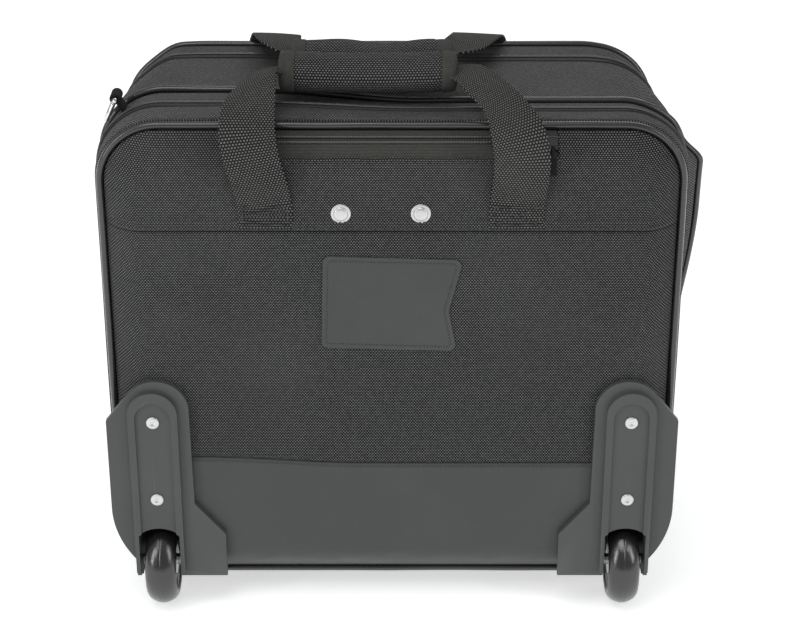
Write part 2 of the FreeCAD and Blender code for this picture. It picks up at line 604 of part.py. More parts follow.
    rear_route = [(-20.6, 333.0), (-30.0, 362.0), (-12.0, 391.0), (REAR_WRAP_Y, WRAP_Z)]
    nodes["rear_handle_strap"] = handle_strap(rear_route, -117.0, REAR_PATCHES[1] + WEB_W)
    nodes["rear_handle_wrap"] = handle_wrap(-78.0, 45.0, REAR_WRAP_Y, 15.0, 14.0)
    front_route = [(167.0, 333.0), (170.0, 380.0), (160.0, 395.0), (FRONT_WRAP_Y, WRAP_Z)]
    nodes["front_handle_strap"] = handle_strap(front_route, FRONT_PATCHES[0], FRONT_PATCHES[1] + WEB_W)
    nodes["front_handle_wrap"] = handle_wrap(-72.0, 42.0, FRONT_WRAP_Y, 15.0, 8.0)

    nodes["handle_zip_slider"] = handle_slider()
    nodes["handle_zip_pull"] = handle_pull()
    nodes["laptop_zip_slider"] = side_slider(1, LAPTOP_ZIP_Y)
    nodes["laptop_zip_pull"] = side_pull(1, LAPTOP_ZIP_Y)
    nodes["main_zip_slider"] = side_slider(-1, MAIN_ZIP_Y)
    nodes["main_zip_pull"] = side_pull(-1, MAIN_ZIP_Y)
    return nodes


def main():
    os.makedirs("parts", exist_ok=True)
    for name, shape in build().items():
        shape.translate(V(0, -Y_MID, 0))
        if not shape.isValid() or shape.Volume <= 0:
            print("check", name, shape.isValid(), shape.Volume)
        shape.exportStep("parts/" + name + ".step")


if __name__ == "__main__":
    main()
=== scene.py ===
"""Looks of the rolling laptop case, built round its mechanical frame."""
import json
import math

import bmesh
import bpy
import numpy as np
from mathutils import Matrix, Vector


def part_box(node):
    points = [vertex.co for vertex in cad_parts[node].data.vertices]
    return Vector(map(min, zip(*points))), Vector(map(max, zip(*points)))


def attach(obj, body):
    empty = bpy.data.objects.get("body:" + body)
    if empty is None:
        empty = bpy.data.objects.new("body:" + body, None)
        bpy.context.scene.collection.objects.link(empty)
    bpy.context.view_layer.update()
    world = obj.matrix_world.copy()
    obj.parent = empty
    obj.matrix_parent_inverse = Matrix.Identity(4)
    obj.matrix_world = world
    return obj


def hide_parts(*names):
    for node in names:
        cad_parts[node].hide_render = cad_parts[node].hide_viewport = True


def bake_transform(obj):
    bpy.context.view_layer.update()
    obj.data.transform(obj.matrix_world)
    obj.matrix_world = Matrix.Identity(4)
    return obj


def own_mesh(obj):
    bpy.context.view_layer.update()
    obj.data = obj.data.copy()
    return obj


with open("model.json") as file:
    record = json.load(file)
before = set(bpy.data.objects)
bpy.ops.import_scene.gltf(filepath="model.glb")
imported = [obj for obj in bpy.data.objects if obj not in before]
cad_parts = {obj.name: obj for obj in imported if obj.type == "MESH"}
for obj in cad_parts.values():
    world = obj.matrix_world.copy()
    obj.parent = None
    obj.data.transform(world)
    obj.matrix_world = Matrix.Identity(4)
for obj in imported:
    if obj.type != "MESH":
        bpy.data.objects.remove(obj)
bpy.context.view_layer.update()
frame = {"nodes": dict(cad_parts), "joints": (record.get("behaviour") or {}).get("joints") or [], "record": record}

bl_info = {
    "name": "Rolling laptop case",
    "version": (1, 0, 0),
    "blender": (4, 5, 0),
    "location": "View3D > Sidebar > Laptop case",
    "description": "Builds the soft panels, zips, webbing, wheels and hardware of a rolling laptop case",
    "category": "Object",
}

MM = 0.001
SEAM_ALLOWANCE = 0.4 * MM
STITCH_LIFT = 0.15 * MM
BODY_OF = {n: b for b, nodes in frame["record"]["behaviour"]["bodies"].items() for n in nodes}
SLOT_OF = {s["node"]: s["material_slot"] for s in frame["record"]["subparts"]}


def limits(*nodes):
    """Lowest and highest corner of some nodes together, as arrays."""
    boxes = [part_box(n) for n in nodes]
    return np.min([b[0] for b in boxes], axis=0), np.max([b[1] for b in boxes], axis=0)


def middle(axis, *nodes):
    """Middle of some nodes' common box along one axis."""
    low, high = limits(*nodes)
    return float(low[axis] + high[axis]) / 2


# The case's outline at its rear piping, and the depths of its seams and zips
PIPE_LOW, PIPE_HIGH = limits("rear_piping")
PIPE_R = float(PIPE_HIGH[1] - PIPE_LOW[1]) / 2
Y_REAR = middle(1, "rear_piping")
Y_MID = middle(1, "mid_piping")
Y_FRONT = middle(1, "front_piping")
HALF_W = float(PIPE_HIGH[0]) - PIPE_R
Z_LOW = float(PIPE_LOW[2]) + PIPE_R
Z_HIGH = float(PIPE_HIGH[2]) - PIPE_R
R_TOP = 42 * MM
R_BOTTOM = 66 * MM
GUSSET_OUT = float(limits("main_gusset_back")[1][0]) - HALF_W
BULGE = Y_REAR - float(limits("rear_panel_lower")[0][1])
HEM_Z = float(limits("rear_panel_lower")[1][2])
KICK_Z = float(limits("kick_panel")[1][2])


# ---------------------------------------------------------------- shape helpers
def ease(t):
    """Smooth step from 0 to 1: t squared times (3 minus 2t), held flat outside 0..1."""
    t = np.clip(t, 0, 1)
    return t * t * (3 - 2 * t)


def spline(points, count):
    """Catmull-Rom curve: each span is the cubic with tangents of half the neighbours' difference."""
    p = np.asarray(points, float)
    p = np.vstack([2 * p[0] - p[1], p, 2 * p[-1] - p[-2]])
    t = np.linspace(0, len(p) - 3 - 1e-9, count)
    i, f = t.astype(int), (t % 1)[:, None]
    a, b, c, d = p[i], p[i + 1], p[i + 2], p[i + 3]
    return 0.5 * (2 * b + (c - a) * f + (2 * a - 5 * b + 4 * c - d) * f ** 2
                  + (3 * b - a - 3 * c + d) * f ** 3)


def resample(path, count, closed=False):
    """The same path with evenly spaced points, read off by running length."""
    path = np.vstack([path, path[:1]]) if closed else path
    run = np.concatenate([[0], np.cumsum(np.linalg.norm(np.diff(path, axis=0), axis=1))])
    at = np.linspace(0, run[-1], count, endpoint=not closed)
    return np.stack([np.interp(at, run, path[:, k]) for k in range(path.shape[1])], 1), at


def unit(v):
    """Vectors divided by their lengths."""
    return v / np.maximum(np.linalg.norm(v, axis=-1, keepdims=True), 1e-12)


def outline(offset, count):
    """Rounded rectangle in XZ, offset outwards from the rear piping line.

    Four arcs joined by straight runs, counter-clockwise from the bottom middle.
    Returns points (count, 2), outward normals and running lengths.
    """
    half, low, high = HALF_W + offset, Z_LOW - offset, Z_HIGH + offset
    top, bottom = R_TOP + offset, R_BOTTOM + offset
    turn = np.linspace(0, math.pi / 2, 40)
    pieces = [np.array([[0, low]])]
    for cx, cz, r, start in ((half - bottom, low + bottom, bottom, -0.5), (half - top, high - top, top, 0.0),
                             (top - half, high - top, top, 0.5), (bottom - half, low + bottom, bottom, 1.0)):
        a = turn + start * math.pi
        pieces.append(np.stack([cx + r * np.cos(a), cz + r * np.sin(a)], 1))
    points, run = resample(np.vstack(pieces), count, closed=True)
    tangent = unit(np.roll(points, -1, 0) - np.roll(points, 1, 0))
    return points, np.stack([tangent[:, 1], -tangent[:, 0]], 1), run


def inset_depth(x, z, offset):
    """Distance inwards from the rounded rectangle: minus its signed distance function."""
    half = HALF_W + offset
    upper = z > (Z_LOW + Z_HIGH) / 2
    r = np.where(upper, R_TOP + offset, R_BOTTOM + offset)
    q = np.abs(x) - half + r
    w = np.where(upper, z - Z_HIGH - offset, Z_LOW - offset - z) + r
    return r - np.hypot(np.maximum(q, 0), np.maximum(w, 0)) - np.minimum(np.maximum(q, w), 0)


def half_width(z, offset):
    """Half the width of the rounded rectangle at height z: the circle's chord in the corners."""
    half = HALF_W + offset
    top, bottom = R_TOP + offset, R_BOTTOM + offset
    up = np.clip(z - (Z_HIGH + offset - top), 0, top)
    down = np.clip((Z_LOW - offset + bottom) - z, 0, bottom)
    return half - top + np.sqrt(top ** 2 - up ** 2) - bottom + np.sqrt(bottom ** 2 - down ** 2)


LEAN_BACK, LEAN_SINK = 13 * MM, 3.5 * MM       # the middle piping's move at the upper right
SWELL_OUT, SWELL_BAND = 13 * MM, 14 * MM       # the right side's bulge and how far it spreads in depth
PINCH_RIGHT, PINCH_LEFT = 11 * MM, 7 * MM      # the front top corners' moves inwards
PINCH_SINK, PINCH_WAVE = 3 * MM, 11 * MM


def slump(points):
    """Settles soft points as on the loaded case.

    Towards the upper right the middle piping leans back towards the rear one and sinks a little,
    the right side swells outwards beside it, and the front top corners are pinched inwards: each
    move is a product of smooth steps in x, y and z.
    """
    p = np.array(points, float)
    x, y, z = p[..., 0].copy(), p[..., 1].copy(), p[..., 2].copy()
    depth = np.where(y < Y_MID, (y - Y_REAR) / (Y_MID - Y_REAR), (Y_FRONT - y) / (Y_FRONT - Y_MID))
    depth = np.clip(depth, 0, 1)
    lean = ease((x + 0.10) / 0.12) * ease((z - 0.29) / 0.08) * depth
    p[..., 1] -= LEAN_BACK * lean
    p[..., 2] -= LEAN_SINK * lean * ease((z - 0.36) / 0.02)
    middle_band = np.exp(-((y - Y_MID) / SWELL_BAND) ** 2)
    at_side = ease((x - 0.14) / 0.06) * ease((0.352 - z) / 0.02) * ease((z - 0.17) / 0.13)
    p[..., 0] += SWELL_OUT * at_side * middle_band
    pinch = ease((np.abs(x) - 0.14) / 0.05) * ease((z - 0.27) / 0.08) * ease((y - Y_MID) / (Y_FRONT - Y_MID))
    p[..., 0] -= np.where(x > 0, PINCH_RIGHT, -PINCH_LEFT) * pinch
    p[..., 2] -= PINCH_SINK * pinch * (1 + 0.5 * np.sin(x / PINCH_WAVE))
    return p


def ripple(u, v, scale, seed):
    """Slow unevenness: a few sine waves of unrelated lengths added together, within -1..1."""
    a = np.sin(u / scale + 1.3 * np.sin(v / scale * 0.7 + seed) + seed)
    b = np.sin(v / scale * 1.37 + 1.1 * np.sin(u / scale * 0.61 + 2 * seed) + 2.1)
    c = np.sin((u + v) / scale * 0.53 + 3.7 * seed)
    return (a + b + c) / 3


# ---------------------------------------------------------------- mesh helpers
def new_object(name, data):
    """An object for a mesh, a lamp or a camera, linked to the scene."""
    obj = bpy.data.objects.new(name, data)
    bpy.context.scene.collection.objects.link(obj)
    return obj


def patch_faces(nu, nv, wrap_u, wrap_v, start=0):
    """Quads of an nu by nv grid of points, as an array of four indices each."""
    rows, columns = nu if wrap_u else nu - 1, nv if wrap_v else nv - 1
    i, j = np.meshgrid(np.arange(rows), np.arange(columns), indexing="ij")
    i2, j2 = (i + 1) % nu, (j + 1) % nv
    return np.stack([i * nv + j, i2 * nv + j, i2 * nv + j2, i * nv + j2], -1).reshape(-1, 4) + start


def surface(name, grids, wrap_u=False, wrap_v=False, uvs=None, closed=False):
    """One mesh from one or more grids of points; cloth coordinates go into a UV map in metres.

    An end of a tube (wrap_v only) is closed with one face, and closed shells get outward normals.
    """
    grids = grids if isinstance(grids, list) else [grids]
    uvs = uvs if isinstance(uvs, list) or uvs is None else [uvs]
    points, faces, caps, start = [], [], [], 0
    for grid in grids:
        nu, nv = grid.shape[:2]
        faces.append(patch_faces(nu, nv, wrap_u, wrap_v, start))
        if wrap_v and not wrap_u:
            caps.append(list(range(start, start + nv))[::-1])
            caps.append(list(range(start + (nu - 1) * nv, start + nu * nv)))
        points.append(grid.reshape(-1, 3))
        start += nu * nv
    mesh = bpy.data.meshes.new(name)
    mesh.from_pydata(np.vstack(points).tolist(), [], np.vstack(faces).tolist() + caps)
    if uvs is not None:
        flat = np.vstack([u.reshape(-1, 2) for u in uvs]).astype(np.float32)
        index = np.zeros(len(mesh.loops), np.int32)
        mesh.loops.foreach_get("vertex_index", index)
        mesh.uv_layers.new(name="cloth").data.foreach_set("uv", flat[index].ravel())
    mesh.polygons.foreach_set("use_smooth", np.ones(len(mesh.polygons), bool))
    if closed or caps:
        outward(mesh)
    mesh.update()
    return new_object(name, mesh)


def outward(mesh):
    """Turns a closed mesh's faces outwards."""
    bm = bmesh.new()
    bm.from_mesh(mesh)
    bmesh.ops.recalc_face_normals(bm, faces=bm.faces)
    bm.to_mesh(mesh)
    bm.free()


def sweep(path, side, up, profile, scale=None):
    """Profile (m, 2) carried along path (n, 3): point = path + a * side + b * up, as a grid."""
    a, b = profile[:, 0], profile[:, 1]
    if scale is not None:
        a, b = a[None] * scale[:, None], np.broadcast_to(b[None], (len(path), len(b)))
        return path[:, None] + a[..., None] * side[:, None] + b[..., None] * up[:, None]
    return path[:, None] + a[None, :, None] * side[:, None] + b[None, :, None] * up[:, None]


def circle(radius, sides):
    """Points (cos, sin) times the radius at equal angles."""
    a = np.linspace(0, 2 * math.pi, sides, endpoint=False)
    return np.stack([radius * np.cos(a), radius * np.sin(a)], 1)


def flat_oval(width, thickness, across):
    """Cross-section of webbing: flat faces with half-round edges, as a closed loop."""
    half, r = width / 2 - thickness / 2, thickness / 2
    top = np.stack([np.linspace(half, -half, across), np.full(across, r)], 1)
    left = np.linspace(math.pi / 2, 1.5 * math.pi, 6)[1:-1]
    right = left - math.pi
    edge_l = np.stack([-half + r * np.cos(left), r * np.sin(left)], 1)
    edge_r = np.stack([half + r * np.cos(right), r * np.sin(right)], 1)
    return np.vstack([top, edge_l, top[::-1] * [1, -1], edge_r])


def ring_path(offset, y, count):
    """The outline at depth y as a 3-D path, with its outward and its rearward directions."""
    points, normal, run = outline(offset, count)
    path = np.stack([points[:, 0], np.full(count, y), points[:, 1]], 1)
    out = np.stack([normal[:, 0], np.zeros(count), normal[:, 1]], 1)
    back = np.tile([0.0, 1.0, 0.0], (count, 1))
    return path, out, back, run


def upper_part(path, out, back, run, z_min):
    """Only the stretch of a ring path above z_min, from the right side over the top to the left."""
    keep = path[:, 2] > z_min
    first = np.argmax(keep)
    order = np.roll(np.arange(len(path)), -first)
    order = order[keep[order]]
    return path[order], out[order], back[order], run[order]


def beads(run, pitch):
    """Radius factor that rises and falls once each pitch, for moulded zip teeth."""
    waist = 0.55
    return waist + (1 - waist) * np.abs(np.sin(math.pi * run / pitch))


def tube(name, path, side, up, radius, sides, closed=False):
    """Round cord of fixed or varying radius: path + radius * (cos * side + sin * up)."""
    radius = np.broadcast_to(radius, (len(path),))
    ring = circle(1.0, sides)
    spokes = ring[None, :, :1] * side[:, None] + ring[None, :, 1:] * up[:, None]
    grid = path[:, None] + radius[:, None, None] * spokes
    return surface(name, grid, wrap_u=closed, wrap_v=True, closed=True)


def frames(path, up_hint):
    """Side and up directions of a free path, square to its tangent and close to up_hint."""
    tangent = unit(np.gradient(path, axis=0))
    side = unit(np.cross(tangent, up_hint))
    return side, unit(np.cross(side, tangent))


def stitch_line(name, path, up, pitch=3.0 * MM, length=2.0 * MM, radius=0.38 * MM):
    """Row of stitches: each is a small spindle of three rings of five points, laid along the path."""
    total = np.linalg.norm(np.diff(path, axis=0), axis=1).sum()
    count = max(3, int(total / pitch))
    both, _ = resample(np.hstack([path, up]), count + 1)
    centre, up_at = both[:, :3], unit(both[:, 3:])
    tangent = unit(np.gradient(centre, axis=0))
    side = unit(np.cross(tangent, up_at))
    ring = circle(1.0, 5)
    along = np.array([-0.5, -0.3, 0.3, 0.5])
    fat = np.array([0.35, 1.0, 1.0, 0.35])
    local = np.stack([np.repeat(along * length, 5), np.outer(fat * radius, ring[:, 0]).ravel(),
                      np.outer(fat * radius, ring[:, 1]).ravel()], 1)
    points = (centre[:, None] + local[None, :, :1] * tangent[:, None] + local[None, :, 1:2] * side[:, None]
              + local[None, :, 2:] * up_at[:, None])
    quads = patch_faces(4, 5, False, True)
    quads = (quads[None] + 20 * np.arange(len(centre))[:, None, None]).reshape(-1, 4).tolist()
    ends = np.array([[4, 3, 2, 1, 0], [15, 16, 17, 18, 19]])
    ends = (ends[None] + 20 * np.arange(len(centre))[:, None, None]).reshape(-1, 5).tolist()
    mesh = bpy.data.meshes.new(name)
    mesh.from_pydata(points.reshape(-1, 3).tolist(), [], quads + ends)
    outward(mesh)
    mesh.polygons.foreach_set("use_smooth", np.ones(len(mesh.polygons), bool))
    return new_object(name, mesh)


def lathe(name, centre, axis, profile, sides):
    """Profile of (radius, height) pairs turned about an axis; radius 0 ends are closed by merging."""
    axis = unit(np.asarray(axis, float))
    side = unit(np.cross(axis, [0.31, 0.22, 0.93]))
    other = np.cross(axis, side)
    profile = np.asarray(profile, float)
    a = np.linspace(0, 2 * math.pi, sides, endpoint=False)
    radial = np.cos(a)[:, None] * side + np.sin(a)[:, None] * other
    grid = (np.asarray(centre, float) + profile[:, 0][:, None, None] * radial[None]
            + profile[:, 1][:, None, None] * axis)
    obj = surface(name, grid, wrap_v=True)
    bm = bmesh.new()
    bm.from_mesh(obj.data)
    bmesh.ops.remove_doubles(bm, verts=bm.verts, dist=1e-6)
    bmesh.ops.recalc_face_normals(bm, faces=bm.faces)
    bm.to_mesh(obj.data)
    bm.free()
    return obj


def merge(name, objects):
    """Several new pieces as one object."""
    with bpy.context.temp_override(active_object=objects[0], selected_editable_objects=objects):
        bpy.ops.object.join()
    objects[0].name = name
    return objects[0]


def refined(name, node, width, segments=2, sharp=28.0):
    """A copy of a moulded or turned node with its flat faces merged and its edges rounded."""
    mesh = frame["nodes"][node].data.copy()
    mesh.materials.clear()
    bm = bmesh.new()
    bm.from_mesh(mesh)
    bmesh.ops.remove_doubles(bm, verts=bm.verts, dist=2e-6)
    bmesh.ops.dissolve_limit(bm, angle_limit=math.radians(0.6), verts=bm.verts, edges=bm.edges)
    bmesh.ops.recalc_face_normals(bm, faces=bm.faces)
    bm.to_mesh(mesh)
    bm.free()
    mesh.polygons.foreach_set("use_smooth", np.ones(len(mesh.polygons), bool))
    mesh.set_sharp_from_angle(angle=math.radians(sharp))
    obj = new_object(name, mesh)
    bevel = obj.modifiers.new("edges", "BEVEL")
    bevel.width = width
    bevel.segments = segments
    bevel.limit_method = "ANGLE"
    bevel.angle_limit = math.radians(sharp)
    bevel.harden_normals = True
    return obj


def thicken(obj, thickness):
    """Gives a sheet its thickness, behind its faces."""
    solid = obj.modifiers.new("cloth thickness", "SOLIDIFY")
    solid.thickness = thickness
    solid.offset = -1.0
    return obj


# ---------------------------------------------------------------- sizes and colours
def colour(name, about, red, green, blue):
    """A colour that a user may change."""
    return bpy.props.FloatVectorProperty(name=name, description=about, default=(red, green, blue),
                                         subtype="COLOR", size=3, min=0, max=1)


def length(name, about, default):
    """A length that a user may change."""
    return bpy.props.FloatProperty(name=name, description=about, default=default, unit="LENGTH", min=0)


class CaseColours(bpy.types.PropertyGroup):
    """Colours of the case's fabrics, plastics and metals."""
    nylon: colour("Nylon", "Ballistic nylon of the panels", 0.005, 0.005, 0.0055)
    # painted highlight: the lighter colour of the nylon's yarn crowns stands in for their sheen
    nylon_crown_sheen: colour("Nylon highlight", "Crowns of the nylon yarns", 0.190, 0.192, 0.192)
    webbing: colour("Webbing", "Carry handle webbing", 0.008, 0.008, 0.008)
    # painted highlight: the lighter colour of the webbing's rib crowns stands in for their sheen
    webbing_crown_sheen: colour("Webbing highlight", "Crowns of the webbing's ribs", 0.185, 0.190, 0.178)
    vinyl: colour("Vinyl", "Smooth kick panel and identity tag", 0.056, 0.060, 0.058)
    piping: colour("Piping", "Vinyl cord along the seams", 0.022, 0.022, 0.023)
    zip_tape: colour("Zip tape", "Woven tape of the zips", 0.056, 0.056, 0.051)
    coil: colour("Zip coil", "Nylon teeth of the zips", 0.040, 0.040, 0.040)
    thread: colour("Thread", "Sewing thread", 0.028, 0.029, 0.029)
    housing: colour("Housing", "Moulded wheel housings", 0.058, 0.062, 0.061)
    tyre: colour("Tyre", "Wheel rubber", 0.010, 0.010, 0.011)
    hub: colour("Hub", "Moulded wheel centre", 0.030, 0.031, 0.032)
    lining: colour("Lining", "Brushed lining of the compartments", 0.11, 0.112, 0.115)
    board: colour("Board", "Plastic boards and brackets", 0.018, 0.018, 0.019)
    grip: colour("Grip", "Pull handle grip", 0.016, 0.016, 0.017)
    button: colour("Button", "Release button", 0.10, 0.10, 0.105)
    chrome: colour("Chrome", "Rings for the shoulder strap", 0.72, 0.72, 0.73)
    rivet: colour("Rivet", "Rivets and washers", 0.66, 0.66, 0.65)
    tubing: colour("Tubing", "Anodised handle tubes", 0.56, 0.57, 0.58)
    slider: colour("Slider", "Zip sliders and pulls", 0.035, 0.035, 0.037)


class CaseSizes(bpy.types.PropertyGroup):
    """Sizes of the sewing and of the cloth's slack."""
    stitch: length("Stitch", "Length of one stitch with its gap", 3.2 * MM)
    weave: length("Nylon weave", "Pitch of the nylon's floats along a row", 2.0 * MM)
    rib: length("Webbing rib", "Pitch of the webbing's floats along a row", 2.2 * MM)
    tooth: length("Zip tooth", "Pitch of the zip teeth", 2.0 * MM)
    slack: length("Slack", "Height of the cloth's slow waves", 0.55 * MM)
    crown: length("Crown", "How far the gussets swell between seams", 1.6 * MM)
    camera_distance: length("Camera distance", "From the lens to the case", 1.464)


# ---------------------------------------------------------------- materials
def operators(operation):
    """The method of an arithmetic operator and its reflected form."""

    def plain(self, other):
        return self.math(operation, self, other)

    def reflected(self, other):
        return self.math(operation, other, self)

    return plain, reflected


class Wire:
    """A socket that carries a number; Python's operators on it add Math nodes."""
    __add__, __radd__ = operators("ADD")
    __sub__, __rsub__ = operators("SUBTRACT")
    __mul__, __rmul__ = operators("MULTIPLY")
    __truediv__, __rtruediv__ = operators("DIVIDE")
    __mod__, __rmod__ = operators("FLOORED_MODULO")

    def __init__(self, finish, socket):
        self.finish = finish
        self.socket = socket

    def math(self, operation, *values):
        return self.finish.add("ShaderNodeMath", {"operation": operation}, dict(enumerate(values)))

    def __abs__(self):
        return self.math("ABSOLUTE", self)

    def floor(self):
        return self.math("FLOOR", self)

    def sine(self):
        return self.math("SINE", self)

    def between(self, low, high):
        """0 below low, 1 above high, and a smooth step from one to the other."""
        return self.finish.add("ShaderNodeMapRange", {"interpolation_type": "SMOOTHSTEP"},
                               {0: self, 1: low, 2: high})


def opaque(shade):
    """A colour with its alpha of 1, or a wire as it is."""
    return shade if isinstance(shade, Wire) else (*shade, 1)


class Finish:
    """One material under construction."""

    def __init__(self, name):
        self.material = bpy.data.materials.new(name)
        self.material.use_nodes = True
        self.tree = self.material.node_tree
        self.tree.nodes.clear()

    def add(self, kind, settings=None, sockets=None, output=0):
        """Makes a node of any type: its settings first, then its sockets' values or links."""
        node = self.tree.nodes.new(kind)
        for key, value in (settings or {}).items():
            setattr(node, key, value)
        for key, value in (sockets or {}).items():
            if isinstance(value, Wire):
                self.tree.links.new(value.socket, node.inputs[key])
            else:
                node.inputs[key].default_value = value
        return Wire(self, node.outputs[output])

    def place(self):
        """The point in the case's own frame."""
        return self.add("ShaderNodeTexCoord", output="Object")

    def cloth(self):
        """Metres across and along the cloth, from the piece's own UV map."""
        uv = self.add("ShaderNodeUVMap", {"uv_map": "cloth"})
        return [self.add("ShaderNodeSeparateXYZ", None, {0: uv}, k) for k in (0, 1)]

    def noise(self, scale, detail, roughness=0.55, where=None):
        """Cloudy noise with so many swings per metre."""
        return self.add("ShaderNodeTexNoise", None, {"Vector": where or self.place(), "Scale": scale,
                                                     "Detail": detail, "Roughness": roughness})

    def mix(self, factor, first, second):
        """Colour between two colours."""
        first, second = opaque(first), opaque(second)
        return self.add("ShaderNodeMix", {"data_type": "RGBA"}, {0: factor, 6: first, 7: second}, 2)

    def bump(self, height, strength, distance):
        """Normal of a surface raised by a height between 0 and 1 times the distance."""
        sockets = {"Height": height, "Strength": strength, "Distance": distance}
        return self.add("ShaderNodeBump", None, sockets)

    def finish(self, base, **sockets):
        """Closes the material with a Principled shader; keywords are its sockets, _ for a space."""
        named = {key.replace("_", " "): value for key, value in sockets.items()}
        shader = self.add("ShaderNodeBsdfPrincipled", None, {"Base Color": opaque(base), **named})
        out = self.tree.nodes.new("ShaderNodeOutputMaterial")
        self.tree.links.new(shader.socket, out.inputs["Surface"])
        return self.material


def floats(finish, pitch, row):
    """Height 0..1 of a weave's raised yarns.

    One dot every pitch along a row, as a sine across times a sine along, with every other row shifted by half.
    """
    across, along = finish.cloth()
    line = along / row
    shift = (line.floor() % 2) * 0.5
    return abs(((across / pitch + shift) * math.pi).sine()) * abs((line * math.pi).sine())


def woven(name, dark, light, pitch, row, depth=0.35 * MM):
    """Woven nylon: rows of light yarn crowns on dark gaps, with uneven dye."""
    f = Finish(name)
    yarn = floats(f, pitch, row)
    uneven = f.noise(420.0, 2.0)
    broad = f.noise(9.0, 3.0)
    # painted highlight: the yarn crowns are mixed towards the light colour in place of a sheen, at random strength
    crown = yarn.between(0.36, 0.92) * (uneven.between(0.3, 0.7) * 0.35 + 0.65)
    base = f.mix(crown, dark, light)
    base = f.mix(broad.between(0.4, 0.7) * 0.08, base, [0.7 * c for c in light])
    rough = 0.82 - crown * 0.22
    return f.finish(base, Roughness=rough, Normal=f.bump(yarn + uneven * 0.3, 0.5, depth),
                    Specular_IOR_Level=0.15)


def leatherette(name, base, grain_size, rough, coat, depth=0.16 * MM):
    """Coated vinyl: fine pebble grain with slightly darker valleys and scuffs that dull the gloss."""
    f = Finish(name)
    where = f.place()
    cells = f.add("ShaderNodeTexVoronoi", {"feature": "SMOOTH_F1"},
                  {"Vector": where, "Scale": 1 / grain_size, "Smoothness": 0.6})
    fine = f.noise(2.2 / grain_size, 3.0, where=where)
    broad = f.noise(14.0, 4.0, where=where)
    height = cells * 0.7 + fine * 0.5
    # painted shade: the grain's valleys are darkened to 0.72 of the base colour
    tone = f.mix((1 - cells).between(0.2, 0.9) * 0.35, base, [0.72 * c for c in base])
    tone = f.mix(broad.between(0.45, 0.7) * 0.25, tone, [min(1, 1.3 * c + 0.01) for c in base])
    return f.finish(tone, Roughness=rough + (broad.between(0.4, 0.7) - 0.5) * 0.12,
                    Normal=f.bump(height, 0.5, depth), Coat_Weight=coat, Coat_Roughness=0.2,
                    Specular_IOR_Level=0.3)


def moulded(name, base, rough, texture=0.35 * MM, shine=0.5):
    """Moulded plastic or rubber: spark-textured skin, faint flow marks and rubbed edges."""
    f = Finish(name)
    where = f.place()
    spark = f.noise(1 / texture, 2.0, 0.7, where)
    broad = f.noise(11.0, 4.0, where=where)
    tone = f.mix(broad.between(0.4, 0.7) * 0.3, base, [min(1, 1.25 * c + 0.004) for c in base])
    # painted highlight: convex edges, found by pointiness, are lightened up to 1.8 times the base colour
    edge = f.add("ShaderNodeNewGeometry", None, None, "Pointiness")
    tone = f.mix(edge.between(0.57, 0.68) * 0.4, tone, [min(1, 1.8 * c + 0.01) for c in base])
    return f.finish(tone, Roughness=rough + (spark - 0.5) * 0.16, Normal=f.bump(spark, 0.28, texture * 0.35),
                    Specular_IOR_Level=shine)


def metal(name, base, rough, brushed=False):
    """Plated or anodised metal with fine wear; brushed metal has streaks along z."""
    f = Finish(name)
    where = f.place()
    if brushed:
        where = f.add("ShaderNodeMapping", None, {"Vector": where, "Scale": (1.0, 1.0, 0.02)})
    streak = f.noise(900.0, 2.0, 0.6, where)
    broad = f.noise(30.0, 3.0)
    tone = f.mix(broad.between(0.45, 0.75) * 0.3, base, [0.75 * c for c in base])
    return f.finish(tone, Metallic=1.0, Roughness=rough + (streak - 0.5) * 0.14,
                    Normal=f.bump(streak, 0.06, 0.05 * MM))


def brushed_lining(name, base):
    """Brushed tricot lining: short matted pile with shade patches."""
    f = Finish(name)
    pile = f.noise(700.0, 3.0, 0.75)
    shade = f.noise(26.0, 3.0)
    tone = f.mix(pile.between(0.35, 0.7), [0.6 * c for c in base], base)
    tone = f.mix(shade.between(0.45, 0.65) * 0.4, tone, [min(1, 1.4 * c) for c in base])
    return f.finish(tone, Roughness=0.93 - pile * 0.08, Normal=f.bump(pile, 0.6, 0.5 * MM),
                    Specular_IOR_Level=0.2)


def sewing_thread(name, base):
    """Plied thread: fine light and dark flecks."""
    f = Finish(name)
    ply = f.noise(2600.0, 1.0)
    tone = f.mix(ply.between(0.4, 0.6), base, [min(1, 2.6 * c) for c in base])
    return f.finish(tone, Roughness=0.6 + ply * 0.1, Normal=f.bump(ply, 0.4, 0.1 * MM))


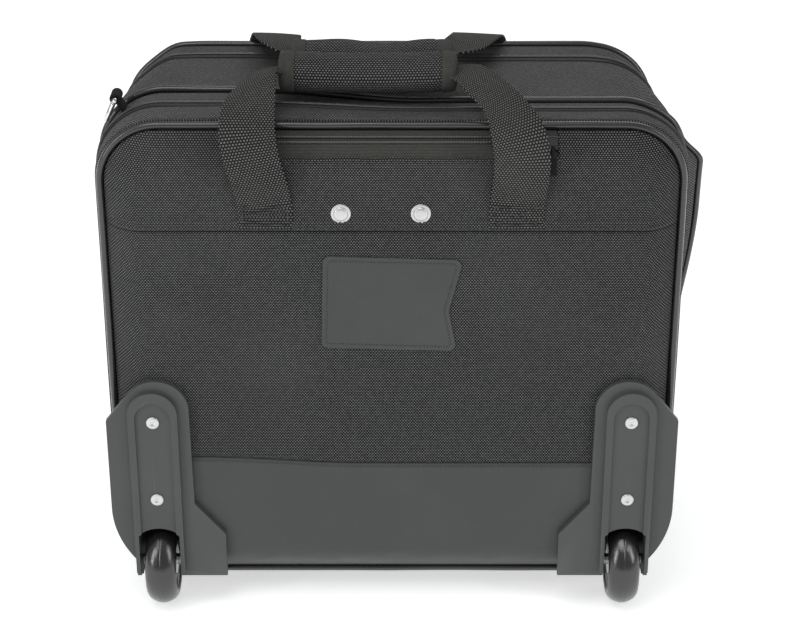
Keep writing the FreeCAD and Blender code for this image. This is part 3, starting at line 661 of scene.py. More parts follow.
def make_materials():
    """All finishes by their slot's name, and the sewing thread and zip teeth."""
    c, s = bpy.context.scene.case_colours, bpy.context.scene.case_sizes
    nylon, light = tuple(c.nylon), tuple(c.nylon_crown_sheen)
    web, ribs = tuple(c.webbing), tuple(c.webbing_crown_sheen)
    tape = tuple(c.zip_tape)
    return {
        # In each woven finish the crown colour is a painted highlight (sheen) on the yarns, ribs or tape.
        "ballistic_fabric": woven("ballistic nylon", nylon, light, s.weave, 0.62 * s.weave),
        # painted highlight: the gussets are the same nylon with its crown highlight 1.6 times brighter, as they
        # catch more light
        "gusset_fabric": woven("gusset nylon", nylon, tuple(1.6 * v for v in light), s.weave, 0.62 * s.weave),
        "wrap_fabric": woven("wrap weave", nylon, light, s.rib, 0.8 * s.rib, depth=0.5 * MM),
        "zip_tape": woven("zip tape", tuple(0.5 * v for v in tape), tuple(2.2 * v for v in tape),
                          1.1 * MM, 0.8 * MM, depth=0.2 * MM),
        "webbing": woven("webbing", web, ribs, s.rib, 0.86 * s.rib, depth=0.6 * MM),
        "smooth_vinyl": leatherette("grey vinyl", tuple(c.vinyl), 0.9 * MM, 0.50, coat=0.02),
        "piping_vinyl": leatherette("piping vinyl", tuple(c.piping), 1.6 * MM, 0.28, coat=0.9,
                                    depth=0.04 * MM),
        "housing_plastic": moulded("housing plastic", tuple(c.housing), 0.50, 0.5 * MM, shine=0.45),
        "board_plastic": moulded("board plastic", tuple(c.board), 0.6),
        "grip_plastic": moulded("grip plastic", tuple(c.grip), 0.42),
        "button_plastic": moulded("button plastic", tuple(c.button), 0.35),
        "hub_plastic": moulded("hub plastic", tuple(c.hub), 0.45),
        "tyre_urethane": moulded("tyre urethane", tuple(c.tyre), 0.17, 0.9 * MM, shine=0.9),
        "foot_rubber": moulded("foot rubber", tuple(c.tyre), 0.7, 0.6 * MM),
        "lining_foam": brushed_lining("lining", tuple(c.lining)),
        "tube_aluminium": metal("anodised tube", tuple(c.tubing), 0.34, brushed=True),
        "axle_steel": metal("bearing steel", (0.55, 0.55, 0.54), 0.3),
        "rivet_metal": metal("rivet nickel", tuple(c.rivet), 0.42),
        "ring_chrome": metal("ring chrome", tuple(c.chrome), 0.12),
        "slider_metal": metal("black nickel", tuple(c.slider), 0.32),
        "thread": sewing_thread("sewing thread", tuple(c.thread)),
        "coil": moulded("zip coil", tuple(c.coil), 0.30, 0.4 * MM, shine=0.8),
    }


FINISHES = {}


def finish_of(name):
    """A material by the name of its slot; all are made when the first is asked for."""
    if not FINISHES:
        FINISHES.update(make_materials())
    return FINISHES[name]


def place(obj, like, finish, *nodes):
    """Gives a piece its finish, the body and slot of a node, and the nodes that it stands for."""
    obj.data.materials.clear()
    obj.data.materials.append(finish_of(finish))
    if nodes:
        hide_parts(*nodes)
    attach(obj, BODY_OF[like])
    return obj


def settle(obj, node):
    """Puts a piece in the place of a node, on its body and in its slot's finish."""
    return place(obj, node, SLOT_OF[node], node)


def trim(obj, like, finish="thread"):
    """Places stitches, teeth or binding on the body of the node that they are sewn to."""
    return place(obj, like, finish)


# ---------------------------------------------------------------- rear panels
PANEL_IN = -(PIPE_R + SEAM_ALLOWANCE)    # the rear panels end this far inside the piping line
BEVEL_RUN = 26 * MM                      # the padded border rises over this width
AXLE_END = float(limits("axles")[1][0])
WELL_IN = AXLE_END - 2 * (AXLE_END - middle(0, "tyre_right"))
WELL = (WELL_IN - 0.3 * MM, AXLE_END + 0.3 * MM, 72.3 * MM)  # inner side, outer side and top of a wheel well
ZIP_X0, ZIP_X1 = float(limits("handle_zip_lower")[0][0]), float(limits("handle_zip_lower")[1][0])
ZIP_LOW = float(limits("handle_zip_lower")[0][2]) + 5.3 * MM    # the folded lip hides the tape below this
ZIP_HIGH = float(limits("handle_zip_upper")[1][2])
ZIP_SPLIT = ZIP_LOW + 9.9 * MM           # the two rows of teeth meet here
FRONT_OF_SEAM = 1 * MM                   # the panels start this far behind the piping's line


def rear_depth(x, z):
    """y of the rear panels' face.

    A padded border: the face stands out from the piping by the bulge times one minus the square of
    (1 minus depth over the border's width), so it rises steeply and turns flat. Slow waves, a folded
    hem above the seam, pinched seams and the folded lip below the handle zip are added.
    """
    s = bpy.context.scene.case_sizes
    t = np.clip(inset_depth(x, z, PANEL_IN) / BEVEL_RUN, 0, 1)
    rise = FRONT_OF_SEAM + (BULGE - FRONT_OF_SEAM) * (1 - (1 - t) ** 2)
    flat = ease((t - 0.5) / 0.5)
    waves = s.slack * (0.5 + 0.5 * ripple(x, z, 31 * MM, 0.4)) * flat
    hem = 0.9 * MM * ease((z - HEM_Z) / (0.8 * MM)) * ease((HEM_Z + 9 * MM - z) / (1.5 * MM))
    at_hem, at_kick = (z - HEM_Z + 1 * MM) / (1.6 * MM), (z - KICK_Z) / (1.4 * MM)
    pinch = 0.9 * MM * (np.exp(-at_hem ** 2) + np.exp(-at_kick ** 2))
    border = 0.5 * MM * ripple(x + z, x - z, 6.5 * MM, 1.7) * np.sin(math.pi * t) ** 2
    lip = 1.6 * MM * ease((z - ZIP_LOW + 7 * MM) / (3 * MM)) * ease((ZIP_LOW + 0.6 * MM - z) / (1.2 * MM))
    lip = lip * ease((x - ZIP_X0 + 6 * MM) / (5 * MM)) * ease((ZIP_X1 + 6 * MM - x) / (5 * MM))
    return Y_REAR - rise - waves - hem * flat + pinch * flat + border - lip


def panel_grid(rows, columns):
    """Grid of the rear face: rows are heights; columns run from edge to edge through given places.

    columns is a list of (start, end, count); None stands for the panel's own edge at that height.
    """
    wide = half_width(rows, PANEL_IN)
    parts = []
    for k, (start, end, count) in enumerate(columns):
        low = -wide if start is None else np.clip(np.full_like(rows, start), -wide, wide)
        high = wide if end is None else np.clip(np.full_like(rows, end), -wide, wide)
        t = np.linspace(0, 1, count + 1)[0 if k == 0 else 1:]
        parts.append(low[:, None] + (high - low)[:, None] * t)
    x = np.concatenate(parts, 1)
    z = np.repeat(rows[:, None], x.shape[1], 1)
    return np.stack([x, rear_depth(x, z), z], -1)


def cut_out(obj, inside):
    """Drops the faces whose middle lies where inside(x, z) is true, and those of no size."""
    bm = bmesh.new()
    bm.from_mesh(obj.data)
    gone = [f for f in bm.faces if f.calc_area() < 1e-10 or inside(*f.calc_center_median().xz)]
    bmesh.ops.delete(bm, geom=gone, context="FACES")
    bmesh.ops.remove_doubles(bm, verts=bm.verts, dist=1e-6)
    bm.to_mesh(obj.data)
    bm.free()
    return obj


def flip_towards_rear(mesh):
    """Turns an open sheet round if its faces look into the case."""
    normals = np.zeros(len(mesh.polygons) * 3, np.float32)
    mesh.polygons.foreach_get("normal", normals)
    if normals[1::3].mean() > 0:
        mesh.flip_normals()


def seam_drift(x, z):
    """The kick panel's upper seam climbs towards the left: a smooth step in x that fades with height."""
    return 5 * MM * ease((-0.02 - x) / 0.12) * np.exp(-((z - KICK_Z) / (24 * MM)) ** 2)


def rear_sheet(name, rows, columns, inside=lambda x, z: False):
    """One panel of the rear face, without what lies inside a cut-out, as a padded sheet."""
    grid = panel_grid(rows, columns)
    grid[..., 2] += seam_drift(grid[..., 0], grid[..., 2])
    obj = surface(name, grid, uvs=grid[..., ::2])
    cut_out(obj, inside)
    flip_towards_rear(obj.data)
    return thicken(obj, 1.6 * MM)


def rear_line(points):
    """A path on the rear face through (x, z) points, with the outward direction for stitches."""
    x, z = points[:, 0], points[:, 1]
    path = np.stack([x, rear_depth(x, z) - STITCH_LIFT, z + seam_drift(x, z)], 1)
    return path, np.tile([0.0, -1.0, 0.0], (len(path), 1))


def in_zip_window(x, z):
    """True where the upper panel is open over the handle zip."""
    return ZIP_X0 < x < ZIP_X1 and ZIP_LOW < z < ZIP_HIGH


def in_well(x, z):
    """True where the wheel wells cut into the panel and the seams."""
    return (np.abs(x) > WELL[0]) & (np.abs(x) < WELL[1]) & (z < WELL[2])


def make_rear_panels():
    """The upper panel with its hem, the main panel, the kick panel and their rows of stitches."""
    s = bpy.context.scene.case_sizes
    top_rows = np.concatenate([np.linspace(HEM_Z, ZIP_LOW, 34)[:-1], np.linspace(ZIP_LOW, ZIP_HIGH, 18)])
    columns = [(None, ZIP_X0, 42), (ZIP_X0, ZIP_X1, 80), (ZIP_X1, None, 34)]
    settle(rear_sheet("rear_panel_top", top_rows, columns, in_zip_window), "rear_panel_upper")
    rows = np.linspace(KICK_Z, HEM_Z - 0.3 * MM, 96)
    settle(rear_sheet("rear_panel_main", rows, [(None, None, 150)]), "rear_panel_lower")
    low = Z_LOW - PANEL_IN
    rows = np.concatenate([low + (WELL[2] - low) * np.linspace(0, 1, 30)[:-1] ** 1.5,
                           np.linspace(WELL[2], KICK_Z - 0.3 * MM, 24)])
    columns = [(None, -WELL[1], 8), (-WELL[1], -WELL[0], 12), (-WELL[0], WELL[0], 110),
               (WELL[0], WELL[1], 12), (WELL[1], None, 8)]
    settle(rear_sheet("kick_panel_skin", rows, columns, in_well), "kick_panel")
    edge = half_width(np.array([HEM_Z, KICK_Z]), PANEL_IN) - 6 * MM
    lines = (("rear_panel_upper", edge[0], HEM_Z + 2.2 * MM), ("rear_panel_upper", edge[0], HEM_Z + 7.2 * MM),
             ("kick_panel", edge[1], KICK_Z - 3 * MM))
    for k, (node, end, z) in enumerate(lines):
        path, up = rear_line(np.linspace((-end, z), (end, z), 300))
        trim(stitch_line(f"panel_stitches_{k}", path, up, s.stitch), node)


# ---------------------------------------------------------------- pipings
def stretches(keep):
    """Runs of consecutive True in a closed loop, each as an array of indices."""
    count = len(keep)
    if keep.all():
        return [np.arange(count)]
    first = int(np.argmin(keep))
    order = (np.arange(count) + first) % count
    flags = keep[order].astype(int)
    starts = np.flatnonzero(np.diff(np.concatenate([[0], flags])) == 1)
    ends = np.flatnonzero(np.diff(np.concatenate([flags, [0]])) == -1)
    return [order[a:b + 1] for a, b in zip(starts, ends)]


def whole_or_parts(path, wells):
    """The stretches of a closed seam that the wheel wells leave, or all of it."""
    return stretches(~in_well(path[:, 0], path[:, 2])) if wells else [np.arange(len(path))]


def joined(name, made):
    """A single piece as it is, or several as one."""
    return merge(name, made) if len(made) > 1 else made[0]


def cord_parts(name, y, offset, wells):
    """Piping cord with its sewn flange's slight waviness; open where the wheel wells cut it."""
    path, out, back, run = ring_path(offset, y, 460)
    wave = 0.25 * MM * ripple(run, run * 0.7, 17 * MM, y * 40)
    path = slump(path + out * wave[:, None])
    made = []
    for k, part in enumerate(whole_or_parts(path, wells)):
        closed = len(part) == len(path)
        made.append(tube(f"{name}_{k}", path[part], out[part], back[part], PIPE_R, 12, closed))
    return joined(name, made)


def make_pipings():
    """The cords of the rear, middle and front seams; the loaded middle seam stands out further."""
    settle(cord_parts("rear_piping_cord", Y_REAR, 0.0, True), "rear_piping")
    settle(cord_parts("mid_piping_cord", Y_MID, GUSSET_OUT + 1.2 * MM, False), "mid_piping")
    settle(cord_parts("front_piping_cord", Y_FRONT, GUSSET_OUT, False), "front_piping")


# ---------------------------------------------------------------- gussets
def gusset_shell(name, node, crown, wells=False):
    """Padded wall between two seams: its section is a loop whose outer side bows out as a sine
    of the way across, carried round the case's outline and then slumped."""
    s = bpy.context.scene.case_sizes
    low, high = limits(node)
    y0, y1 = float(low[1]), float(high[1])
    path, out, back, run = ring_path(GUSSET_OUT, 0.0, 440)
    t = np.linspace(0, 1, 15)
    outer_y, inner_y = y0 + (y1 - y0) * t, y1 + (y0 - y1) * np.linspace(0, 1, 6)
    bow = np.sin(math.pi * t) ** 0.7
    waves = s.slack * ripple(run[:, None], outer_y[None] * 1.6, 24 * MM, y0 * 31) * bow
    swell = crown * s.crown * bow[None] + waves - 0.5 * MM * (1 - bow[None])
    outer = path[:, None] + out[:, None] * swell[..., None] + back[:, None] * outer_y[None, :, None]
    inner = path[:, None] - out[:, None] * 3.6 * MM + back[:, None] * inner_y[None, :, None]
    grid = slump(np.concatenate([outer, inner], 1))
    across = np.concatenate([outer_y, inner_y])
    uv = np.stack(np.broadcast_arrays(run[:, None], across[None]), -1)
    made = []
    for k, part in enumerate(whole_or_parts(path, wells)):
        closed = len(part) == len(path)
        made.append(surface(f"{name}_{k}", grid[part], closed, True, uv[part], closed=True))
    settle(joined(name, made), node)


def make_gussets():
    """The walls on both sides of the laptop zip and of the main zip."""
    gusset_shell("laptop_gusset_rear_wall", "laptop_gusset_back", 0.6, wells=True)
    gusset_shell("laptop_gusset_front_wall", "laptop_gusset_front", 0.6)
    gusset_shell("main_gusset_wall", "main_gusset_back", 0.9)
    gusset_shell("front_gusset_wall", "main_gusset_front", 0.7)


# ---------------------------------------------------------------- zips
def side_zip_half(name, node, towards):
    """Half a side zip: its tape lies on the gusset and its row of teeth meets the other half.

    Tape and teeth run up one side, over the top and down the other, following the slumped outline.
    """
    s = bpy.context.scene.case_sizes
    low, high = limits(node)
    z_end = float(low[2])
    path, out, back, run = upper_part(*ring_path(GUSSET_OUT, 0.0, 620), z_end)
    y0, y1 = float(low[1]), float(high[1])
    teeth_y = y1 if towards > 0 else y0
    t = np.linspace(0, 1, 7)
    y = y0 + (y1 - y0) * t
    lift = (0.9 + 0.35 * np.sin(t * math.pi)) * MM
    top = path[:, None] + out[:, None] * lift[None, :, None] + back[:, None] * y[None, :, None]
    under = (path[:, None] + out[:, None] * (lift - 0.7 * MM)[None, ::-1, None]
             + back[:, None] * y[None, ::-1, None])
    grid = slump(np.concatenate([top, under], 1))
    uv = np.stack(np.broadcast_arrays(run[:, None], np.concatenate([y, y[::-1]])[None]), -1)
    tape = surface(name + "_tape", grid, wrap_v=True, uvs=uv)
    settle(tape, node)
    centre = path + out * 1.7 * MM + back * (teeth_y - towards * 0.75 * MM)
    centre, run = resample(np.hstack([centre, out, back]), int((run.max() - run.min()) / s.tooth * 3))
    radius = 0.85 * MM * beads(run, s.tooth)
    coil = tube(name + "_teeth", slump(centre[:, :3]), unit(centre[:, 3:6]), unit(centre[:, 6:]), radius, 6)
    trim(coil, node, "coil")
    seam = path + out * 1.25 * MM + back * ((y0 if towards > 0 else y1) + towards * 1.6 * MM)
    trim(stitch_line(name + "_stitches", slump(seam), out, s.stitch), node)


def make_side_zips():
    """Both halves of the laptop zip and of the main zip; towards is the side of the other half."""
    for name, node, towards in (("laptop_zip_rear", "laptop_zip_back", 1),
                                ("laptop_zip_front", "laptop_zip_front", -1),
                                ("main_zip_rear", "main_zip_back", 1),
                                ("main_zip_fore", "main_zip_front", -1)):
        side_zip_half(name, node, towards)


def slope_strip(z0, z1, sunk):
    """Strip of the sloping border between two heights over the handle zip's length, sunk below it."""
    along = np.linspace(ZIP_X0 - 1 * MM, ZIP_X1 + 1 * MM, 120)
    x, z = np.meshgrid(along, np.linspace(z0, z1, 6), indexing="ij")
    return np.stack([x, rear_depth(x, z) + sunk, z], -1)


def make_handle_zip():
    """The pull handle's pocket zip: two tapes that gather towards their sewn edges as it opens."""
    s = bpy.context.scene.case_sizes
    for node, z_sewn, towards in (("handle_zip_lower", ZIP_LOW - 2 * MM, 1),
                                  ("handle_zip_upper", ZIP_HIGH - 0.4 * MM, -1)):
        grid = slope_strip(z_sewn, ZIP_SPLIT, 0.5 * MM)
        back = slope_strip(z_sewn, ZIP_SPLIT, 1.2 * MM)
        loop = np.concatenate([grid, back[:, ::-1]], 1)
        tape = surface(node + "_tape", loop, wrap_v=True, uvs=loop[..., ::2])
        settle(tape, node)
        z_coil = ZIP_SPLIT - towards * 1.35 * MM
        count = int((ZIP_X1 - ZIP_X0) / s.tooth * 3)
        xs = np.linspace(ZIP_X0, ZIP_X1, count)
        centre = np.stack([xs, rear_depth(xs, np.full(count, z_coil)) - 0.3 * MM, np.full(count, z_coil)], 1)
        side, up = frames(centre, np.array([0.0, -1.0, 0.0]))
        coil = tube(node + "_teeth", centre, side, up, 1.25 * MM * beads(xs, s.tooth), 6)
        trim(coil, node, "coil")
        near = grid[0, 0]
        along = unit(grid[0, -1] - near)
        for piece in (tape, coil):
            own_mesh(piece)
    left, right, low, high = ZIP_X0 - 2.4 * MM, ZIP_X1 + 2.4 * MM, ZIP_LOW - 2 * MM, ZIP_HIGH - 1 * MM
    below = ZIP_LOW - 2.4 * MM
    edge_rows = [np.linspace((ZIP_X0 - 2 * MM, below), (ZIP_X1 + 2 * MM, below), 160),
                 np.linspace((left, low), (left, high), 30),
                 np.linspace((right, low), (right, high), 30)]
    for k, points in enumerate(edge_rows):
        path, up = rear_line(points)
        trim(stitch_line(f"handle_zip_stitches_{k}", path, up, s.stitch), "rear_panel_upper")


# ---------------------------------------------------------------- carry handles
WEB_W = float(limits("laptop_strap")[1][0] - limits("laptop_strap")[0][0])
WEB_T = 1.9 * MM


def from_piping(points):
    """Points given in millimetres from the rear piping's plane, in the case's own frame."""
    p = np.array(points, float) * MM
    p[:, 1] += Y_REAR
    return p


def webbing(name, points, widths, scales, count, cup=0.0):
    """Flat strap along a spline through points: its section is a flat oval whose width direction and
    width are splined too, cupped by the square of the distance from its middle."""
    path = spline(from_piping(points), count)
    wide = spline(np.array(widths, float), count)
    scale = spline(np.stack([scales] * 3, 1), count)[:, 0]
    tangent = unit(np.gradient(path, axis=0))
    side = unit(wide - (wide * tangent).sum(1, keepdims=True) * tangent)
    section = flat_oval(WEB_W, WEB_T, 13)
    section[:, 1] += cup * (2 * section[:, 0] / WEB_W) ** 2
    grid = sweep(path, side, np.cross(side, tangent), section, scale)
    run = np.concatenate([[0], np.cumsum(np.linalg.norm(np.diff(path, axis=0), axis=1))])
    uv = np.stack(np.broadcast_arrays(section[None, :, 0], run[:, None]), -1)
    return surface(name, grid, wrap_v=True, uvs=uv), path


# Each leg: points up from its foot, the direction of the strap's width there, and the width's scale
REAR_LEGS = {
    "left": ([(-87, -19.0, 309.5), (-87, -19.1, 322), (-88, -20.4, 332), (-91, -26.5, 349), (-95, -30, 367),
              (-97, -26, 383), (-96.5, -10, 395), (-94, 10, 402), (-90, 27, 405), (-78, 38, 404),
              (-55, 40, 403)],
             [(1, 0, 0)] * 5 + [(1, 0.02, 0), (1, 0.05, 0.05), (0.95, -0.2, 0.25), (0.6, -0.7, 0.35),
                                (0.12, -1, 0.1), (0, -1, 0)],
             [1, 1, 1, 1, 1, 1, 0.94, 0.84, 0.72, 0.62, 0.6]),
    "right": ([(86, -19.0, 309.5), (86, -19.1, 322), (86.5, -20.4, 332), (88, -27, 349), (88, -30.5, 367),
               (84, -25, 384), (76, -9, 396), (64, 10, 402.5), (54, 28, 405.5), (42, 38, 404), (22, 40, 403)],
              [(1, 0, 0)] * 4 + [(1, 0, 0.03), (1, 0, 0.1), (0.98, 0.1, 0.15), (0.95, 0.4, 0.2),
                                 (0.6, 0.8, 0.2), (0.12, 1, 0), (0, 1, 0)],
              [1, 1, 1, 1, 1, 0.94, 0.76, 0.73, 0.68, 0.62, 0.6]),
}
FRONT_LEGS = {
    "left": ([(-92, 165.4, 309.5), (-92, 165.5, 322), (-92, 167, 332), (-92, 171, 352), (-91, 173, 370),
              (-88, 167, 385), (-86, 149, 394), (-84, 124, 400), (-80, 102, 403), (-68, 86, 403.5),
              (-48, 82, 403)],
             [(-1, 0, 0)] * 6 + [(-1, 0, 0.05), (-0.97, -0.15, 0.1), (-0.75, -0.6, 0.15), (-0.15, -1, 0),
                                 (0, -1, 0)],
             [1, 1, 1, 1, 1, 1, 0.96, 0.86, 0.74, 0.62, 0.6]),
    "right": ([(69, 165.4, 309.5), (69, 165.5, 322), (69, 167, 332), (70, 171, 352), (69, 173, 370),
               (66, 167, 385), (63, 149, 394), (59, 124, 400), (52, 102, 403), (38, 86, 403.5),
               (18, 82, 403)],
              [(-1, 0, 0)] * 6 + [(-1, 0, 0.05), (-0.97, 0.15, 0.1), (-0.75, 0.6, 0.15), (-0.15, 1, 0),
                                  (0, 1, 0)],
              [1, 1, 1, 1, 1, 1, 0.96, 0.86, 0.74, 0.62, 0.6]),
}


def strap_leg(name, leg, strap_node, patch_node):
    """One leg of a carry handle: sewn flat on its patch, then free and turning into the wrap.

    The leg bends between the case and the handle at the fold above the patch.
    """
    obj, path = webbing(name, *leg, 170, cup=-0.5 * MM)
    obj.data.materials.clear()
    obj.data.materials.append(finish_of("webbing"))
    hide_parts(strap_node, patch_node)
    y = float(path[0, 1])
    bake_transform(obj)
    return y


def box_stitch(name, centre_x, y, z0, z1, half, facing, like, crossed):
    """Sewn box on a strap's foot: a rectangle with a cross inside, or rows close together."""
    s = bpy.context.scene.case_sizes
    x0, x1 = centre_x - half, centre_x + half
    corners = [(x0, z0), (x1, z0), (x1, z1), (x0, z1), (x0, z0)]
    rows = list(zip(corners, corners[1:]))
    if crossed:
        rows += [((x0, z0), (x1, z1)), ((x0, z1), (x1, z0))]
    else:
        rows += [((x0, z), (x1, z)) for z in np.linspace(z0, z1, 7)[1:-1]]
    made = []
    for k, (a, b) in enumerate(rows):
        xz = np.linspace(a, b, 24)
        path = np.stack([xz[:, 0], np.full(24, y), xz[:, 1]], 1)
        made.append(stitch_line(f"{name}_{k}", path, np.tile([0.0, facing, 0.0], (24, 1)), s.stitch * 0.8,
                                1.9 * MM, 0.42 * MM))
    trim(merge(name, made), like)


def make_strap_legs():
    """Two legs for each carry handle, sewn down with a crossed box on the right and rows on the left."""
    for where, legs, strap, patch in (("rear", REAR_LEGS, "rear_handle_strap", "rear_strap_patches"),
                                      ("front", FRONT_LEGS, "front_handle_strap", "front_strap_patches")):
        low, high = limits(patch)
        for side, leg in legs.items():
            facing = -1.0 if where == "rear" else 1.0
            y = strap_leg(f"{where}_strap_{side}", leg, strap, patch)
            y = y + facing * (WEB_T / 2 + 0.5 * MM)
            box_stitch(f"{where}_box_stitch_{side}", leg[0][0][0] * MM, y, float(low[2]) + 3 * MM,
                       float(high[2]) - 4 * MM, WEB_W / 2 - 3.5 * MM, facing, patch, side == "right")


WRAP_SWELL = 0.97                        # the padding fills this much of the wrap's room
WRAP_SAG = 1.5 * MM
WRAP_TURN = np.linspace(0, 2 * math.pi, 64, endpoint=False)


def wrap_section():
    """Cosine and sine of a whole turn, each raised to 0.85 with its sign kept: a superellipse."""
    return [(np.sign(v) * np.abs(v) ** 0.85)[None] for v in (np.cos(WRAP_TURN), np.sin(WRAP_TURN))]


def wrap_sleeve(name, node, limp):
    """Padded grip wrap: a superellipse section carried along X whose ends round over.

    The ends shrink by the square root of 1 minus a high power of the distance along. Slow waves, a
    sag and a pinch beside each bound end make it soft.
    """
    low, high = limits(node)
    mid, half = (low + high) / 2, (high - low) / 2
    t = np.linspace(-1, 1, 90)
    a = WRAP_TURN
    across, upwards = wrap_section()
    close = np.sqrt(np.clip(1 - np.abs(t) ** 26, 0.30, 1))
    pinch = 1 - 0.07 * np.exp(-((np.abs(t) - 0.84) / 0.035) ** 2)
    size = (close * pinch * WRAP_SWELL)[:, None]
    size = size * (1 + 0.016 * ripple(t[:, None] * half[0], a[None] * 9 * MM, 8 * MM, 0.8))
    y = mid[1] + half[1] * size * across
    sag = WRAP_SAG * (1 - t ** 2) + limp * np.sin(t * 5.2 + 0.6) * (1 - t ** 2)
    z = mid[2] - sag[:, None] + half[2] * size * upwards
    x = np.broadcast_to(mid[0] + half[0] * t[:, None], y.shape)
    uv = np.stack(np.broadcast_arrays(x, a[None] * (half[1] + half[2]) / 2), -1)
    sleeve = surface(name, np.stack([x, y, z], -1), wrap_v=True, uvs=uv)
    settle(sleeve, node)


def wrap_binding(name, node):
    """Tape bound round a wrap's ends: short sleeves over its last centimetre with a rolled inner edge."""
    low, high = limits(node)
    mid, half = (low + high) / 2, (high - low) / 2
    across, upwards = wrap_section()
    run = np.array([0.0, 0.2, 1.0, 2.5, 6.0, 9.0, 10.6, 11.2, 11.2]) * MM
    grow = np.array([0.46, 0.68, 0.90, 0.98, 1.02, 1.02, 1.01, 0.98, 0.9]) * WRAP_SWELL
    sag = WRAP_SAG * (1 - (1 - run / half[0]) ** 2)
    y = mid[1] + half[1] * grow[:, None] * across
    z = mid[2] - sag[:, None] + half[2] * grow[:, None] * upwards
    uv = np.stack(np.broadcast_arrays(WRAP_TURN[None] * (half[1] + half[2]) / 2, run[:, None]), -1)
    made = []
    for end in (-1, 1):
        x = mid[0] + end * (half[0] + 0.5 * MM - run)
        grid = np.stack([np.broadcast_to(x[:, None], y.shape), y, z], -1)
        made.append(surface(f"{name}_{end}", grid, wrap_v=True, uvs=uv))
    trim(merge(name, made), node, "zip_tape")


def make_wraps():
    """Both grip wraps with their bound ends; the front one hangs limp."""
    for where, limp in (("rear", 0.0), ("front", 1.6 * MM)):
        node = where + "_handle_wrap"
        wrap_sleeve(where + "_grip_wrap", node, limp)
        wrap_binding(where + "_wrap_binding", node)


# ---------------------------------------------------------------- tag and rivets
def rounded(corners, reach, count):
    """Closed outline with its corners rounded: each corner is a quadratic curve between two points
    on its edges, reach away from it."""
    points = np.array(corners, float)
    before = points + reach * unit(np.roll(points, 1, 0) - points)
    after = points + reach * unit(np.roll(points, -1, 0) - points)
    t = np.linspace(0, 1, 9)[None, :, None]
    bends = (1 - t) ** 2 * before[:, None] + 2 * t * (1 - t) * points[:, None] + t ** 2 * after[:, None]
    path = bends.reshape(-1, 2)
    return resample(np.vstack([path, path[:1]]), count)[0]


TAG_TILT = math.radians(1.6)
TAG_STITCHES = [(-45.6, 32.1), (-45.6, -32.1), (42.8, -32.1), (36.7, -4.0), (44.8, 32.1)]  # mm


def make_id_tag():
    """Leatherette tag with a notched side and a row of stitches that follows its edge."""
    s = bpy.context.scene.case_sizes
    settle(refined("id_tag_skin", "id_tag", 0.5 * MM), "id_tag")
    count = 300
    flat = rounded(np.array(TAG_STITCHES) * MM, 3.2 * MM, count)
    x = flat[:, 0] * math.cos(TAG_TILT) + flat[:, 1] * math.sin(TAG_TILT)
    z = middle(2, "id_tag") + flat[:, 1] * math.cos(TAG_TILT) - flat[:, 0] * math.sin(TAG_TILT)
    path = np.stack([x, np.full(count, limits("id_tag")[0][1] - STITCH_LIFT), z], 1)
    up = np.tile([0.0, -1.0, 0.0], (count, 1))
    trim(stitch_line("id_tag_stitches", path, up, s.stitch * 0.85), "id_tag")


# Half sections of the rivets: share of the radius, and mm above the face
RIVET_DOME = [(0, -0.6), (1, -0.6), (1, 0.45), (0.95, 0.8), (0.78, 0.95), (0.74, 0.8), (0.71, 0.8),
              (0.70, 1.3), (0.66, 1.75), (0.58, 2.05), (0.40, 2.2), (0.20, 2.25), (0, 2.25)]
RIVET_FLAT = [(0, -0.4), (1, -0.4), (1, 0.6), (0.94, 1.1), (0.82, 1.35), (0.30, 1.4), (0.26, 1.15), (0, 1.1)]


def make_rivets():
    """Domed rivets on washers at the handle bracket, and flat heads on the housings."""
    low, high = limits("back_rivets")
    ring = (high[2] - low[2]) / 2
    face = limits("rear_panel_upper")[0][1]
    dome = np.array(RIVET_DOME) * [ring, MM]
    made = [lathe(f"back_rivet_{k}", (x, face - 0.4 * MM, (low[2] + high[2]) / 2), (0, -1, 0), dome, 48)
            for k, x in enumerate((low[0] + ring, high[0] - ring))]
    settle(merge("back_rivet_heads", made), "back_rivets")
    low, high = limits("housing_rivets")
    head = 4.8 * MM
    flat = np.array(RIVET_FLAT) * [head, MM]
    made = []
    for x in (low[0] + head, high[0] - head):
        for z in (low[2] + head, high[2] - head):
            made.append(lathe("housing_rivet", (x, low[1] + 1.4 * MM, z), (0, -1, 0), flat, 40))
    settle(merge("housing_rivet_heads", made), "housing_rivets")


# ---------------------------------------------------------------- wheels and housings
def make_housings():
    """The moulded housings with their edges rounded."""
    for side in ("right", "left"):
        node = "wheel_housing_" + side
        settle(refined("housing_" + side, node, 1.1 * MM, 3, 32), node)


def make_wheels():
    """Tyres: a round-shouldered section with a moulding line, turned about the axle; hubs, bearings."""
    low, high = limits("tyre_right")
    half = (high[0] - low[0]) / 2
    outer = (high[2] - low[2]) / 2
    inner = outer - 10 * MM
    shoulder = [(inner, -0.78), (inner + 1.6 * MM, -0.88), (outer - 6.5 * MM, -0.90),
                (outer - 3.4 * MM, -0.72), (outer - 1.2 * MM, -0.42), (outer - 0.1 * MM, -0.12),
                (outer, -0.05), (outer - 0.35 * MM, -0.018)]
    section = np.array(shoulder + [(r, -h) for r, h in shoulder[::-1]]) * [1, half]
    section = np.vstack([spline(section[:7], 22), section[7:9], spline(section[9:], 22)])
    section = np.vstack([section, section[:1]])
    for side in ("right", "left"):
        low, high = limits("tyre_" + side)
        tyre = lathe("tyre_" + side + "_tread", (low + high) / 2, (1, 0, 0), section, 96)
        settle(tyre, "tyre_" + side)
        hub = "wheel_hub_" + side
        settle(refined("hub_" + side, hub, 0.6 * MM), hub)
        bearing = "wheel_bearings_" + side
        settle(refined("bearings_" + side, bearing, 0.4 * MM), bearing)
    settle(refined("axle_pins", "axles", 0.4 * MM), "axles")


